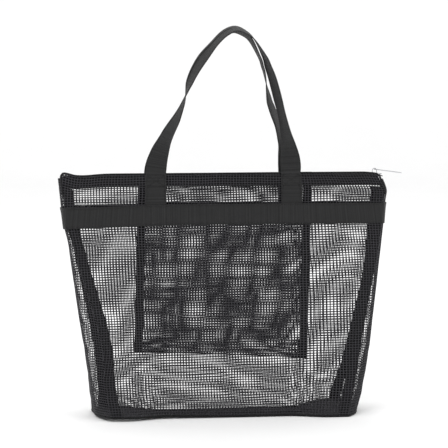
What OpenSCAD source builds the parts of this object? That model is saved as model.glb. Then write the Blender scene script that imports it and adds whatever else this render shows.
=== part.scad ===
// Mesh beach tote with webbing handles, a zipped top and a hanging inner pocket.
// The origin is the centre of the base on the ground. +X is to the right, -Y is the front, +Z is up.

/* [Bag] */
// Width of the mouth, seam to seam
top_width = 472; // [440:1:500]
// Width of the base, seam to seam
base_width = 352; // [320:1:380]
// Height of the hem above the ground
bag_height = 360; // [340:1:380]
// Depth of the base, front to rear
base_depth = 120; // [100:1:140]
// Thickness of the mesh sheets
cloth = 1.2; // [0.8:0.1:1.4]
// How far the gussets bow outwards at their fullest
gusset_bow = 28; // [10:1:30]

/* [Webbing] */
// Width of the handle webbing
strap_width = 30; // [25:1:32]
// Thickness of the handle webbing
strap = 1.6; // [1.2:0.1:1.8]
// Distance between the two ends of a handle, centre to centre
leg_spacing = 200; // [190:1:206]
// Height of the webbing band's lower edge
band_bottom = 284; // [270:1:296]
// Height of the webbing band
band_height = 30; // [20:1:30]
// Gap between the front handle's loop and the rear one nested inside it
nest_gap = 7; // [6:0.5:9]

/* [Tapes] */
// Width of the seam tapes
tape_width = 14; // [10:1:16]
// Width of the hem
hem_width = 20; // [16:1:24]
// Thickness of the tapes
tape = 1.2; // [0.8:0.1:1.4]

/* [Zip] */
// Length of the pull
pull_length = 42; // [26:1:42]
// Width of the pull
pull_width = 5; // [4:0.5:6]
// How far the resting pull points below level, in degrees
pull_droop = 8; // [6:0.5:8]
// Where the slider rests at the closed end
slider_x = 227; // [200:1:227]

/* [Pocket] */
// Width of the pocket over its bindings
pocket_width = 260; // [220:1:270]
// Height of the pocket
pocket_height = 264; // [200:1:264]
// How far the pocket's front sheet stands off its back sheet
pocket_bow = 9; // [7:0.5:9]
// Width of the pocket's bindings
binding_width = 12; // [10:1:15]

/* [Hidden] */

MESH = [0.24, 0.23, 0.26];
TAPE = [0.1, 0.1, 0.11];
WEB = [0.19, 0.19, 0.2];
METAL = [0.78, 0.79, 0.8];

// Clear gap left between neighbouring layers
gap = 0.1;
top_depth = 24;
lean = atan((base_depth - top_depth) / 2 / bag_height);
slant = bag_height / cos(lean);
sheet_foot = cloth + 0.3;
gusset_top = bag_height - 12;
gusset_clear = 0.3;
band_thickness = 1.4;
leg_offset = cloth / 2 + gap;
band_offset = leg_offset + strap + 2 * gap;
handle_foot = bag_height + 1.5;
handle_x = -1;

// Half width of the bag at a height z, and half its depth there
function seam_share(t) = (pow(max(0, t), 1.35) + smooth(t)) / 2;
function seam_x(z) = (base_width + (top_width - base_width) * seam_share(z / bag_height)) / 2;
function half_depth(z) = (base_depth - (base_depth - top_depth) * z / bag_height) / 2;
function smooth(t) = let(u = min(1, max(0, t))) u * u * (3 - 2 * u);
function bow(z) = gusset_bow * (0.15 + 0.85 * pow(cos(112.5 * (z / bag_height - 0.2)), 2));

// Faces of a closed shell made of two grids of points, rows by columns, the outer grid first
function grid_index(row, column, columns, base) = base + row * columns + column;
function shell_faces(rows, columns) =
    let(inner = rows * columns)
    concat(
        [for (r = [0:rows - 2], c = [0:columns - 2], half = [0, 1])
            half == 0
                ? [grid_index(r, c, columns, 0), grid_index(r, c + 1, columns, 0),
                   grid_index(r + 1, c + 1, columns, 0)]
                : [grid_index(r, c, columns, 0), grid_index(r + 1, c + 1, columns, 0),
                   grid_index(r + 1, c, columns, 0)]],
        [for (r = [0:rows - 2], c = [0:columns - 2], half = [0, 1])
            half == 0
                ? [grid_index(r, c, columns, inner), grid_index(r + 1, c + 1, columns, inner),
                   grid_index(r, c + 1, columns, inner)]
                : [grid_index(r, c, columns, inner), grid_index(r + 1, c, columns, inner),
                   grid_index(r + 1, c + 1, columns, inner)]],
        [for (c = [0:columns - 2])
            [grid_index(0, c, columns, 0), grid_index(0, c, columns, inner),
             grid_index(0, c + 1, columns, inner), grid_index(0, c + 1, columns, 0)]],
        [for (c = [0:columns - 2])
            [grid_index(rows - 1, c, columns, 0), grid_index(rows - 1, c + 1, columns, 0),
             grid_index(rows - 1, c + 1, columns, inner), grid_index(rows - 1, c, columns, inner)]],
        [for (r = [0:rows - 2])
            [grid_index(r, 0, columns, 0), grid_index(r + 1, 0, columns, 0),
             grid_index(r + 1, 0, columns, inner), grid_index(r, 0, columns, inner)]],
        [for (r = [0:rows - 2])
            [grid_index(r, columns - 1, columns, 0), grid_index(r, columns - 1, columns, inner),
             grid_index(r + 1, columns - 1, columns, inner),
             grid_index(r + 1, columns - 1, columns, 0)]]);

// Places a drawing of the front sheet, x by distance up the slant, on the leaning front
module on_front() {
    translate([0, -base_depth / 2, 0])
        rotate([90 - lean, 0, 0])
            children();
}

module on_rear() {
    mirror([0, 1, 0])
        on_front()
            children();
}

// Points up the right-hand side seam between two distances up the slant, inset from the seam
seam_steps = 10;
function seam_line(low, high, inset) = [for (k = [0:seam_steps])
    let(v = low + (high - low) * k / seam_steps) [seam_x(v * cos(lean)) - inset, v]];
function reversed(points) = [for (k = [len(points) - 1:-1:0]) points[k]];
function mirrored(points) = [for (p = points) [-p[0], p[1]]];

// A layer of the front between two distances up the slant, inset from the side seams
module front_layer(low, high, offset, thickness, inset) {
    side = seam_line(low, high, inset);
    translate([0, 0, offset])
        linear_extrude(thickness)
            polygon(concat(side, reversed(mirrored(side))));
}

// A strip beside the right-hand side seam, on the inside of the front
module seam_strip() {
    low = sheet_foot + 4;
    high = slant - hem_width - 1;
    translate([0, 0, -cloth / 2 - gap - tape])
        linear_extrude(tape)
            polygon(concat(seam_line(low, high, 1), reversed(seam_line(low, high, 1 + tape_width))));
}

module front_panel() {
    color(MESH) on_front() front_layer(sheet_foot, slant, -cloth / 2, cloth, 0);
}

module rear_panel() {
    color(MESH) on_rear() front_layer(sheet_foot, slant, -cloth / 2, cloth, 0);
}

// The base sheet: straight along the front and rear, bowed at the ends under the gussets
module bottom_panel() {
    end = [for (k = [0:gusset_columns - 1])
        let(s = 2 * k / (gusset_columns - 1) - 1)
        [base_width / 2 + gusset_clear + bow(0) * (1 - s * s), s * base_depth / 2]];
    color(MESH)
        linear_extrude(cloth)
            polygon(concat(end, [for (p = reversed(end)) [-p[0], p[1]]]));
}

// Points of the right-hand gusset: rows up the side, columns from front to rear
gusset_rows = 13;
gusset_columns = 9;
function gusset_point(z, s, offset) =
    let(b = bow(z), h = half_depth(z), n = sqrt(h * h + 4 * b * b * s * s))
    [seam_x(z) + gusset_clear + b * (1 - s * s) + offset * h / n,
     h * s + offset * 2 * b * s / n, z];
gusset_points = [for (offset = [cloth, 0], r = [0:gusset_rows - 1], c = [0:gusset_columns - 1])
    gusset_point(sheet_foot + (gusset_top - sheet_foot) * r / (gusset_rows - 1),
                 2 * c / (gusset_columns - 1) - 1, offset)];

module gusset() {
    polyhedron(gusset_points, shell_faces(gusset_rows, gusset_columns), convexity = 4);
}

module right_gusset() {
    color(MESH) gusset();
}

module left_gusset() {
    color(MESH) mirror([1, 0, 0]) gusset();
}

module front_hem_tape() {
    color(TAPE) on_front() front_layer(slant - hem_width, slant, -cloth / 2 - gap - tape, tape, 1);
}

module rear_hem_tape() {
    color(TAPE) on_rear() front_layer(slant - hem_width, slant, -cloth / 2 - gap - tape, tape, 1);
}

// Tape inside the top edge of the right-hand gusset
module gusset_hem_tape() {
    low = gusset_top - hem_width;
    half = half_depth(gusset_top) - 3.5;
    inner_low = seam_x(low) - tape;
    inner_high = seam_x(gusset_top) - tape;
    translate([0, half, 0])
        rotate([90, 0, 0])
            linear_extrude(2 * half)
                polygon([[inner_low, low], [inner_low + tape, low],
                         [inner_high + tape, gusset_top], [inner_high, gusset_top]]);
}

module right_hem_tape() {
    color(TAPE) gusset_hem_tape();
}

module left_hem_tape() {
    color(TAPE) mirror([1, 0, 0]) gusset_hem_tape();
}

module front_right_binding() {
    color(TAPE) on_front() seam_strip();
}

module front_left_binding() {
    color(TAPE) on_front() mirror([1, 0, 0]) seam_strip();
}

module rear_right_binding() {
    color(TAPE) on_rear() seam_strip();
}

module rear_left_binding() {
    color(TAPE) on_rear() mirror([1, 0, 0]) seam_strip();
}

// Tapes over the base seams, lying on the inside of the base
base_inset = 1.6;
module base_long_binding() {
    length = base_width - 2 * tape_width - 8;
    translate([-length / 2, -base_depth / 2 + base_inset, cloth + gap])
        cube([length, tape_width - 2, tape]);
}

module base_short_binding() {
    length = base_depth - 2 * base_inset - 4;
    translate([base_width / 2 - tape_width, -length / 2, cloth + gap])
        cube([tape_width - 2, length, tape]);
}

module base_front_binding() {
    color(TAPE) base_long_binding();
}

module base_rear_binding() {
    color(TAPE) mirror([0, 1, 0]) base_long_binding();
}

module base_right_binding() {
    color(TAPE) base_short_binding();
}

module base_left_binding() {
    color(TAPE) mirror([1, 0, 0]) base_short_binding();
}

// The band runs across the front and half way round each gusset
band_wrap_steps = 5;
function band_side(z, offset) = [for (k = [0:band_wrap_steps - 1])
    gusset_point(z, k == 0 ? -0.01 : -k / band_wrap_steps, cloth + 2 * gap + offset)];
function band_row(z, offset) =
    let(right = band_side(z, offset),
        corner = [seam_x(z), -half_depth(z) - band_offset - offset, z])
    concat(right, [corner],
           [[-corner[0], corner[1], z]],
           [for (k = [band_wrap_steps - 1:-1:0]) [-right[k][0], right[k][1], z]]);
band_columns = 2 * band_wrap_steps + 2;
band_points = concat(
    band_row(band_bottom + band_height, band_thickness), band_row(band_bottom, band_thickness),
    band_row(band_bottom + band_height, 0), band_row(band_bottom, 0));

module band() {
    polyhedron(band_points, shell_faces(2, band_columns), convexity = 6);
}

module front_band() {
    color(WEB) band();
}

module rear_band() {
    color(WEB) mirror([0, 1, 0]) band();
}

// The sewn end of a handle, from under the band up to the hem
module leg(side) {
    low = (band_bottom + 2) / cos(lean);
    translate([handle_x + side * leg_spacing / 2 - strap_width / 2, low, leg_offset])
        cube([strap_width, slant - low, strap]);
}

module front_left_leg() {
    color(WEB) on_front() leg(-1);
}

module front_right_leg() {
    color(WEB) on_front() leg(1);
}

module rear_left_leg() {
    color(WEB) on_rear() leg(-1);
}

module rear_right_leg() {
    color(WEB) on_rear() leg(1);
}

// Route of the front handle's loop, x by height, from its left end over the top to its right end
loop_route = [
    [handle_x - leg_spacing / 2, handle_foot], [-97, 384], [-85, 416], [-66, 452], [-52, 489],
    [-34, 524], [-8, 556], [18, 572], [44, 556], [62, 524], [72, 494], [82, 456],
    [92, 414], [97.5, 384], [handle_x + leg_spacing / 2, handle_foot]];
loop_spans = len(loop_route) - 1;
loop_steps = 4;
apex_height = 572;
foot_y = top_depth / 2 + leg_offset + strap / 2;
apex_y = 9;
twist_start = 366;
twist_end = 470;

// A smooth curve through the route's points
function route_point(k) = loop_route[min(loop_spans, max(0, k))];
function curve(t) =
    let(k = min(loop_spans - 1, floor(t)), u = t - k,
        a = route_point(k - 1), b = route_point(k), c = route_point(k + 1), d = route_point(k + 2))
    0.5 * (2 * b + (c - a) * u + (2 * a - 5 * b + 4 * c - d) * u * u
           + (3 * b - a - 3 * c + d) * u * u * u);
function curve_tangent(t) =
    let(e = 0.02, p = curve(min(loop_spans, t + e)) - curve(max(0, t - e)))
    t < 0.01 ? [0, 1] : (t > loop_spans - 0.01 ? [0, -1] : p / norm(p));

// A ring of the strap: its width turns from the bag's width at the foot to the bag's depth above
function loop_ring(t, inset) =
    let(p = curve(t), g = curve_tangent(t),
        rise = (p[1] - handle_foot) / (apex_height - handle_foot),
        inward = inset * smooth((p[1] - handle_foot) / 60),
        turn = 90 * smooth((p[1] - twist_start) / (twist_end - twist_start)),
        centre = [p[0] + g[1] * inward, -foot_y + (foot_y - apex_y) * rise, p[1] - g[0] * inward],
        across = [g[1], 0, -g[0]],
        wide = [across[0] * cos(turn), sin(turn), across[2] * cos(turn)],
        thick = [-across[0] * sin(turn), cos(turn), -across[2] * sin(turn)])
    [for (corner = [[-1, -1], [1, -1], [1, 1], [-1, 1]])
        centre + wide * (corner[0] * strap_width / 2) + thick * (corner[1] * strap / 2)];

loop_rings = loop_spans * loop_steps + 1;
function loop_points(inset) = [for (i = [0:loop_rings - 1], p = loop_ring(i / loop_steps, inset)) p];
loop_faces = concat(
    [[0, 1, 2, 3]],
    [for (i = [0:loop_rings - 2], k = [0:3], half = [0, 1])
        let(a = 4 * i + k, b = 4 * i + (k + 1) % 4)
        half == 0 ? [a, a + 4, b + 4] : [a, b + 4, b]],
    [[for (k = [3:-1:0]) 4 * (loop_rings - 1) + k]]);

module front_handle() {
    color(WEB) polyhedron(loop_points(0), loop_faces, convexity = 6);
}

module rear_handle() {
    color(WEB) mirror([0, 1, 0]) polyhedron(loop_points(nest_gap), loop_faces, convexity = 6);
}

// Zip: the tapes hang between the hems, each with its row of coil along the inner edge
zip_z = 351.6;
zip_tape = 0.7;
zip_half_length = 238;
coil_inner = 0.7;
coil_width = 2.2;
coil_height = 2;
zip_outer = 9.2;
module zip_tape_half() {
    translate([-zip_half_length, -zip_outer, zip_z])
        cube([2 * zip_half_length, zip_outer - coil_inner - 0.4, zip_tape]);
}

module coil_half() {
    translate([-zip_half_length + 1, -coil_inner - coil_width, zip_z + zip_tape + gap])
        cube([2 * zip_half_length - 2, coil_width, coil_height]);
}

module zip_front_tape() {
    color(TAPE) zip_tape_half();
}

module zip_rear_tape() {
    color(TAPE) mirror([0, 1, 0]) zip_tape_half();
}

module zip_front_coil() {
    color(TAPE) coil_half();
}

module zip_rear_coil() {
    color(TAPE) mirror([0, 1, 0]) coil_half();
}

coil_top = zip_z + zip_tape + gap + coil_height;
stop_x = slider_x + 7.5;
module end_stop() {
    translate([stop_x, -3.2, coil_top + gap])
        cube([3, 6.4, 1]);
}

module zip_closed_stop() {
    color(METAL) end_stop();
}

module zip_open_stop() {
    color(METAL) mirror([1, 0, 0]) end_stop();
}

// Slider: two plates joined by a web that runs between the coil halves, with flanges on the top one
slider_length = 12;
slider_half_width = 4.4;
plate = 1.5;
run_gap = 0.3;
top_plate_z = coil_top + run_gap;
module slider_outline() {
    shoulder = slider_length / 2 - 2.4;
    union() {
        translate([-slider_length / 2, -slider_half_width + 0.8])
            square([slider_length, 2 * slider_half_width - 1.6]);
        translate([-shoulder, -slider_half_width])
            square([2 * shoulder, 2 * slider_half_width]);
    }
}

module slider_body() {
    web_bottom = zip_z - run_gap;
    color(METAL)
        translate([slider_x, 0, 0])
            union() {
                translate([0, 0, top_plate_z])
                    linear_extrude(plate)
                        slider_outline();
                translate([0, 0, web_bottom - plate])
                    linear_extrude(plate)
                        slider_outline();
                translate([slider_length / 2 - 4, -0.45, web_bottom - 0.2])
                    cube([3.6, 0.9, top_plate_z - web_bottom + 0.4]);
                for (side = [-1, 1])
                    translate([-3.4, side * 3.85 - 0.45, top_plate_z - 1.6])
                        cube([6.8, 0.9, 1.8]);
            }
}

// Bridge on the slider that the pull's cross bar turns under
pivot_z = 361.6;
bar_r = 0.7;
bridge_half_length = 4;
bridge_half_width = 1.1;
bridge_wall = 1;
bridge_foot = top_plate_z + plate;
bridge_top = pivot_z + bar_r + 0.3;
module slider_bridge() {
    color(METAL)
        translate([slider_x, bridge_half_width, 0])
            rotate([90, 0, 0])
                linear_extrude(2 * bridge_half_width)
                    difference() {
                        polygon([[-bridge_half_length, bridge_foot], [bridge_half_length, bridge_foot],
                                 [bridge_half_length, bridge_top],
                                 [bridge_half_length - bridge_wall / 2, bridge_top + bridge_wall],
                                 [-bridge_half_length + bridge_wall / 2, bridge_top + bridge_wall],
                                 [-bridge_half_length, bridge_top]]);
                        translate([-bridge_half_length + bridge_wall, bridge_foot + bridge_wall])
                            square([2 * (bridge_half_length - bridge_wall),
                                    bridge_top - bridge_foot - bridge_wall]);
                    }
}

// The pull: a cross bar, two arms past the bridge and a slim tab
arm_inner = bridge_half_width + 0.3;
arm = 0.9;
arm_length = 7;
module pull() {
    color(METAL)
        translate([slider_x, 0, pivot_z])
            rotate([0, pull_droop, 0])
                union() {
                    rotate([90, 0, 0])
                        cylinder(r = bar_r, h = 2 * (arm_inner + arm), center = true, $fn = 32);
                    for (side = [-1, 1])
                        translate([-bar_r, side * (arm_inner + arm / 2) - arm / 2, -bar_r])
                            cube([arm_length + bar_r, arm, 2 * bar_r]);
                    translate([arm_length - 1, -pull_width / 2, -bar_r])
                        cube([pull_length - arm_length + 1 - pull_width / 2, pull_width, 2 * bar_r]);
                    translate([pull_length - pull_width / 2, 0, -bar_r])
                        cylinder(r = pull_width / 2, h = 2 * bar_r, $fn = 48);
                }
}

// Pocket: two sheets bound together down the sides and folded at the foot, hung from the rear hem
pocket_x = 4;
pocket_y = 9;
pocket_top = 349;
pocket_foot = pocket_top - pocket_height;
mouth_z = 300;
sheet = 0.8;
sheet_half = pocket_width / 2 - tape - gap;
module pocket_back() {
    color(MESH)
        translate([pocket_x - sheet_half, pocket_y - sheet / 2, pocket_foot + 1])
            cube([2 * sheet_half, sheet, pocket_height - 1]);
}

pocket_rows = 13;
pocket_columns = 21;
function pocket_fullness(u, v) = (1 - pow(abs(u), 6)) * pow(sin(90 * min(1, v * 1.4)), 0.7);
function pocket_point(r, c, offset) =
    let(u = 2 * c / (pocket_columns - 1) - 1, v = r / (pocket_rows - 1))
    [pocket_x + u * sheet_half,
     pocket_y - sheet / 2 - gap - pocket_bow * pocket_fullness(u, v) - offset,
     pocket_foot + 1 + (mouth_z - pocket_foot - 1) * v];
pocket_points = [for (offset = [0, sheet], r = [0:pocket_rows - 1], c = [0:pocket_columns - 1])
    pocket_point(r, c, offset)];

module pocket_front() {
    color(MESH) polyhedron(pocket_points, shell_faces(pocket_rows, pocket_columns), convexity = 6);
}

// Binding folded round the right-hand edges of both sheets
pocket_half = pocket_width / 2;
binding_skin = 0.7;
module pocket_binding() {
    front_y = pocket_y - 1.5 * sheet - gap - pocket_bow * pocket_fullness(0.9, 1) - 2 * gap;
    rear_y = pocket_y + sheet / 2 + gap;
    translate([0, 0, pocket_foot])
        linear_extrude(pocket_height)
            difference() {
                translate([pocket_half - binding_width, front_y - binding_skin])
                    square([binding_width, rear_y - front_y + 2 * binding_skin]);
                translate([pocket_half - binding_width - 1, front_y])
                    square([binding_width + 1 - tape, rear_y - front_y]);
            }
}

module pocket_right_binding() {
    color(TAPE) translate([pocket_x, 0, 0]) pocket_binding();
}

module pocket_left_binding() {
    color(TAPE) translate([pocket_x, 0, 0]) mirror([1, 0, 0]) pocket_binding();
}

// Tape along the pocket's mouth, in front of its front sheet
mouth_columns = 21;
mouth_tape_height = 12;
mouth_reach = (pocket_half - binding_width - 1) / sheet_half;
function mouth_point(c, z, offset) =
    let(u = mouth_reach * (2 * c / (mouth_columns - 1) - 1))
    [pocket_x + u * sheet_half,
     pocket_y - 1.5 * sheet - 2.5 * gap - pocket_bow * pocket_fullness(u, 1) - offset, z];
mouth_points = [for (offset = [0, binding_skin], z = [mouth_z - mouth_tape_height, mouth_z],
    c = [0:mouth_columns - 1]) mouth_point(c, z, offset)];

module pocket_mouth_binding() {
    color(TAPE) polyhedron(mouth_points, shell_faces(2, mouth_columns), convexity = 4);
}

front_panel();
rear_panel();
bottom_panel();
left_gusset();
right_gusset();
front_hem_tape();
rear_hem_tape();
left_hem_tape();
right_hem_tape();
front_left_binding();
front_right_binding();
rear_left_binding();
rear_right_binding();
base_front_binding();
base_rear_binding();
base_left_binding();
base_right_binding();
front_band();
rear_band();
front_handle();
rear_handle();
front_left_leg();
front_right_leg();
rear_left_leg();
rear_right_leg();
zip_front_tape();
zip_rear_tape();
zip_front_coil();
zip_rear_coil();
zip_closed_stop();
zip_open_stop();
slider_body();
slider_bridge();
pull();
pocket_back();
pocket_front();
pocket_left_binding();
pocket_right_binding();
pocket_mouth_binding();
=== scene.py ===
"""Mesh beach tote: open mesh sheets, webbing handles and band, a zipped top and a hanging pocket.

The sheets are real lattices of yarn, shaped on one settled shell, and every tape and strap
is laid on that same shell. Shapes are worked out in millimetres and made in metres.
"""

import math

import bpy
import numpy as np
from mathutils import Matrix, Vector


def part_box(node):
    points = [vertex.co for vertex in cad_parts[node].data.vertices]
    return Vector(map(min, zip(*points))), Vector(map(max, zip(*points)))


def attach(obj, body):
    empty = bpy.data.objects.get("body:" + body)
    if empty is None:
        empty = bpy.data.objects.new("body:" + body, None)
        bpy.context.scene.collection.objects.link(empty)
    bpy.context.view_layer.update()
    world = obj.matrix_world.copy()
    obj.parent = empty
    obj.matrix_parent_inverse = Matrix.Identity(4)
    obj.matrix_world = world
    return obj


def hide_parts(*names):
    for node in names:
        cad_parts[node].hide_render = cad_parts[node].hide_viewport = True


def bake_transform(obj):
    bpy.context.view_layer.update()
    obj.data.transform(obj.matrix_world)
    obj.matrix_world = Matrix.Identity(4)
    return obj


bl_info = {
    "name": "Mesh Beach Tote",
    "version": (1, 0, 0),
    "blender": (4, 5, 0),
    "location": "3D View > Sidebar > Tote",
    "description": "Builds a mesh beach tote round its packed frame",
    "category": "Object",
}

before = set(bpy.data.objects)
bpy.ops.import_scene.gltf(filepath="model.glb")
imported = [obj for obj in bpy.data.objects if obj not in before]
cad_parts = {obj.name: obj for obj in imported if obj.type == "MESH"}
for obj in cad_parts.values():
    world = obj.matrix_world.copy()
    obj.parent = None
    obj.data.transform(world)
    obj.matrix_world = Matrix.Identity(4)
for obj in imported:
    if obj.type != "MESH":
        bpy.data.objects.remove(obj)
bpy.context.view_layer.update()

MM = 0.001


def box_mm(node):
    """Lowest and highest corners of a frame node, in millimetres."""
    low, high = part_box(node)
    return np.array(low) / MM, np.array(high) / MM


FRONT_HIGH = box_mm("front_panel")[1]
BASE_HIGH = box_mm("bottom_panel")[1]
BASE_TAPE_HIGH = box_mm("base_right_binding")[1]
BAND_LOW, BAND_HIGH = box_mm("front_band")
POCKET_LOW, POCKET_HIGH = box_mm("pocket_back")
ZIP_LOW, ZIP_HIGH = box_mm("zip_front_tape")
HANDLE_LOW, HANDLE_HIGH = box_mm("front_handle")
SLIDER_LOW, SLIDER_HIGH = box_mm("slider_body")
PULL_HIGH = box_mm("pull")[1]
BRIDGE_LOW, BRIDGE_HIGH = box_mm("slider_bridge")
STOP_LOW, STOP_HIGH = box_mm("zip_closed_stop")
MOUTH_HIGH = box_mm("pocket_mouth_binding")[1]

HEIGHT = FRONT_HIGH[2]
TOP_HALF = FRONT_HIGH[0]
BASE_HALF = BASE_TAPE_HIGH[0] + 2.0
BASE_HALF_DEPTH = BASE_HIGH[1]
TOP_HALF_DEPTH = 12.0
LEAN = math.atan((BASE_HALF_DEPTH - TOP_HALF_DEPTH) / HEIGHT)
SLANT = HEIGHT / math.cos(LEAN)


# ---------------------------------------------------------------- settings


class ToteShape(bpy.types.PropertyGroup):
    """Sizes that a maker would change"""

    yarn_pitch_across: bpy.props.FloatProperty(
        name="Yarn pitch across", description="Distance between upright yarns",
        default=4.2 * MM, unit="LENGTH")
    yarn_pitch_up: bpy.props.FloatProperty(
        name="Yarn pitch up", description="Distance between level yarns",
        default=3.8 * MM, unit="LENGTH")
    yarn_width: bpy.props.FloatProperty(
        name="Yarn width", description="Width of a coated yarn",
        default=1.3 * MM, unit="LENGTH")
    webbing_width: bpy.props.FloatProperty(
        name="Webbing width", description="Width of the handle webbing",
        default=30 * MM, unit="LENGTH")
    webbing_thickness: bpy.props.FloatProperty(
        name="Webbing thickness", description="Thickness of the handle webbing",
        default=1.5 * MM, unit="LENGTH")
    stitch_pitch: bpy.props.FloatProperty(
        name="Stitch length", description="Distance between stitches",
        default=3.2 * MM, unit="LENGTH")
    gusset_bow: bpy.props.FloatProperty(
        name="Gusset bow", description="How far the end gussets bow outwards",
        default=28 * MM, unit="LENGTH")


class ToteFinish(bpy.types.PropertyGroup):
    """Colours that a maker would change"""

    mesh_colour: bpy.props.FloatVectorProperty(
        name="Mesh", description="Colour of the coated mesh yarn", subtype="COLOR",
        size=3, min=0, max=1, default=(0.022, 0.021, 0.025))
    tape_colour: bpy.props.FloatVectorProperty(
        name="Tape", description="Colour of the seam and hem tapes", subtype="COLOR",
        size=3, min=0, max=1, default=(0.006, 0.006, 0.007))
    webbing_colour: bpy.props.FloatVectorProperty(
        name="Webbing", description="Colour of the band and the handles", subtype="COLOR",
        size=3, min=0, max=1, default=(0.017, 0.017, 0.0175))
    metal_colour: bpy.props.FloatVectorProperty(
        name="Metal", description="Colour of the plated zip parts", subtype="COLOR",
        size=3, min=0, max=1, default=(0.34, 0.345, 0.355))


# ---------------------------------------------------------------- shape of the bag


def smooth(t):
    """Eases from 0 to 1 as t does, level at both ends."""
    u = np.clip(t, 0.0, 1.0)
    return u * u * (3 - 2 * u)


def unit(vectors):
    return vectors / np.linalg.norm(vectors, axis=-1, keepdims=True)


def run_along(path):
    """Distance along a line of points, from 0 at its first."""
    return np.concatenate([[0], np.cumsum(np.linalg.norm(np.diff(path, axis=0), axis=1))])


def half_width(z):
    """Half the width between the side seams at a height."""
    t = np.asarray(z, float) / HEIGHT
    share = (np.maximum(t, 0) ** 1.35 + smooth(t)) / 2
    return BASE_HALF + (TOP_HALF - BASE_HALF) * share


def half_depth(z):
    """Half the distance between the front and the rear at a height."""
    return BASE_HALF_DEPTH - (BASE_HALF_DEPTH - TOP_HALF_DEPTH) * np.asarray(z, float) / HEIGHT


def gusset_bulge(z):
    """How far a gusset's middle stands out past the side seams at a height."""
    bow = bpy.context.scene.tote_shape.gusset_bow / MM
    return bow * (0.15 + 0.85 * np.cos(np.radians(112.5 * (np.asarray(z, float) / HEIGHT - 0.2))) ** 2)


# How far each wall edge leans to the right of the ideal shape, by height
LEAN_HEIGHTS = (0, 30, 60, 100, 140, 190, 225, 250, 282, 309, 333, 345, 360)
LEANS = {
    "front_left": (6, 1, 0, 5, 4, 0, -3, -4, -9, -6, -5, -5, -3),
    "front_right": (3, 8, 11, 12, 12, 12, 12, 11, 10, 7, 8, 3, -5),
    "left": (9, 8, 9, 9, 7, 5, 3, 2, -1, -4, -4, -4, -4),
    "right": (-2, 2, 3, 4, 3, 3, 2, 4, 5, 7, 8, 3, -5),
    "rear_left": (-8, -6, -5, -4, -4, -4, -4, -4, -4, -5, -6, -5, -3),
    "rear_right": (11, 15, 22, 24, 24, 24, 21, 17, 12, 9, 8, 3, -5)}


FRONT_DRAW = 16.0
REAR_DRAW = 54.0


def gather(x):
    """How far the base's front and rear edges draw together, from 0 at its ends to 1 in the middle."""
    return smooth((150 - np.abs(x)) / 60)


def settle(p):
    """The bag's lean and slump: where a point of the ideal shape really rests."""
    x, y, z = p[..., 0], p[..., 1], p[..., 2]
    depth = np.clip(y / half_depth(np.clip(z, 0, HEIGHT)), -1, 1)
    fore, aft = smooth(-depth), smooth(depth)
    shares = {"front": fore, "": 1 - fore - aft, "rear": aft}
    dx = 0
    for hand, sign in (("left", -1), ("right", 1)):
        side = smooth((sign * x - 90) / 90)
        for wall, share in shares.items():
            name = f"{wall}_{hand}" if wall else hand
            dx = dx + side * share * np.interp(z, LEAN_HEIGHTS, LEANS[name])
    near_base = np.exp(-np.maximum(z, 0) / 40)
    corner = np.exp(-((x + BASE_HALF) ** 2 + (y + BASE_HALF_DEPTH) ** 2 + z ** 2) / (2 * 38 ** 2))
    arch = np.exp(-(((x + 80) / 60) ** 2)) * fore * near_base
    peak = np.exp(-(((x + 234) / 9) ** 2)) * 4.0 - np.exp(-(((x + 205) / 22) ** 2)) * 2.2
    droop = -np.exp(-(((x - 236) / 12) ** 2)) * 2.0
    rim = smooth((z - 320) / 30)
    dz = 3.5 * corner + 2.0 * arch + (peak + droop - 2.2 - 2.3 * aft) * rim
    up = np.maximum(z, 0)
    dy = gather(x) * (FRONT_DRAW * fore * np.exp(-((up / 55) ** 2))
                      - REAR_DRAW * aft * np.exp(-((up / 52) ** 2)))
    lifted = np.exp(-((x - BASE_HALF) ** 2 + (y - BASE_HALF_DEPTH) ** 2 + z ** 2) / (2 * 30 ** 2))
    return p + np.stack([dx, dy, dz + 5.0 * lifted], -1)


def curve_weights(f):
    """Weights of four successive points on a smooth curve, part way f between the middle two."""
    return [-0.5 * f + f * f - 0.5 * f ** 3, 1 - 2.5 * f * f + 1.5 * f ** 3,
            0.5 * f + 2 * f * f - 1.5 * f ** 3, -0.5 * f * f + 0.5 * f ** 3]


class Surface:
    """A coarse grid of points, rows upwards and columns across, read as a smooth surface."""

    def __init__(self, grid):
        self.rows, self.columns = grid.shape[:2]
        self.points = self.widen(grid)
        self.normals = self.widen(unit(np.cross(np.gradient(grid, axis=1), np.gradient(grid, axis=0))))
        steps = np.linalg.norm(np.diff(grid, axis=1), axis=-1)
        reach = np.concatenate([np.zeros((self.rows, 1)), np.cumsum(steps, axis=1)], 1)
        self.reach = reach - reach[:, self.columns // 2, None]

    @staticmethod
    def widen(grid):
        return np.pad(grid, ((2, 2), (2, 2), (0, 0)), mode="reflect", reflect_type="odd")

    def read(self, padded, row, column):
        row = np.clip(row, -0.9, self.rows - 0.1) + 2
        column = np.clip(column, -0.9, self.columns - 0.1) + 2
        r, c = np.floor(row).astype(int), np.floor(column).astype(int)
        wr, wc = curve_weights(row - r), curve_weights(column - c)
        total = 0
        for a in range(4):
            for b in range(4):
                picked = padded[np.minimum(r - 1 + a, padded.shape[0] - 1),
                                np.minimum(c - 1 + b, padded.shape[1] - 1)]
                total = total + (wr[a] * wc[b])[..., None] * picked
        return total

    def at(self, row, column, height):
        row, column, height = np.broadcast_arrays(row, column, height)
        normal = unit(self.read(self.normals, row, column))
        return self.read(self.points, row, column) + normal * height[..., None]


ROWS = 37
PANEL_COLUMNS = 49
GUSSET_COLUMNS = 13
shell = {}


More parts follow.
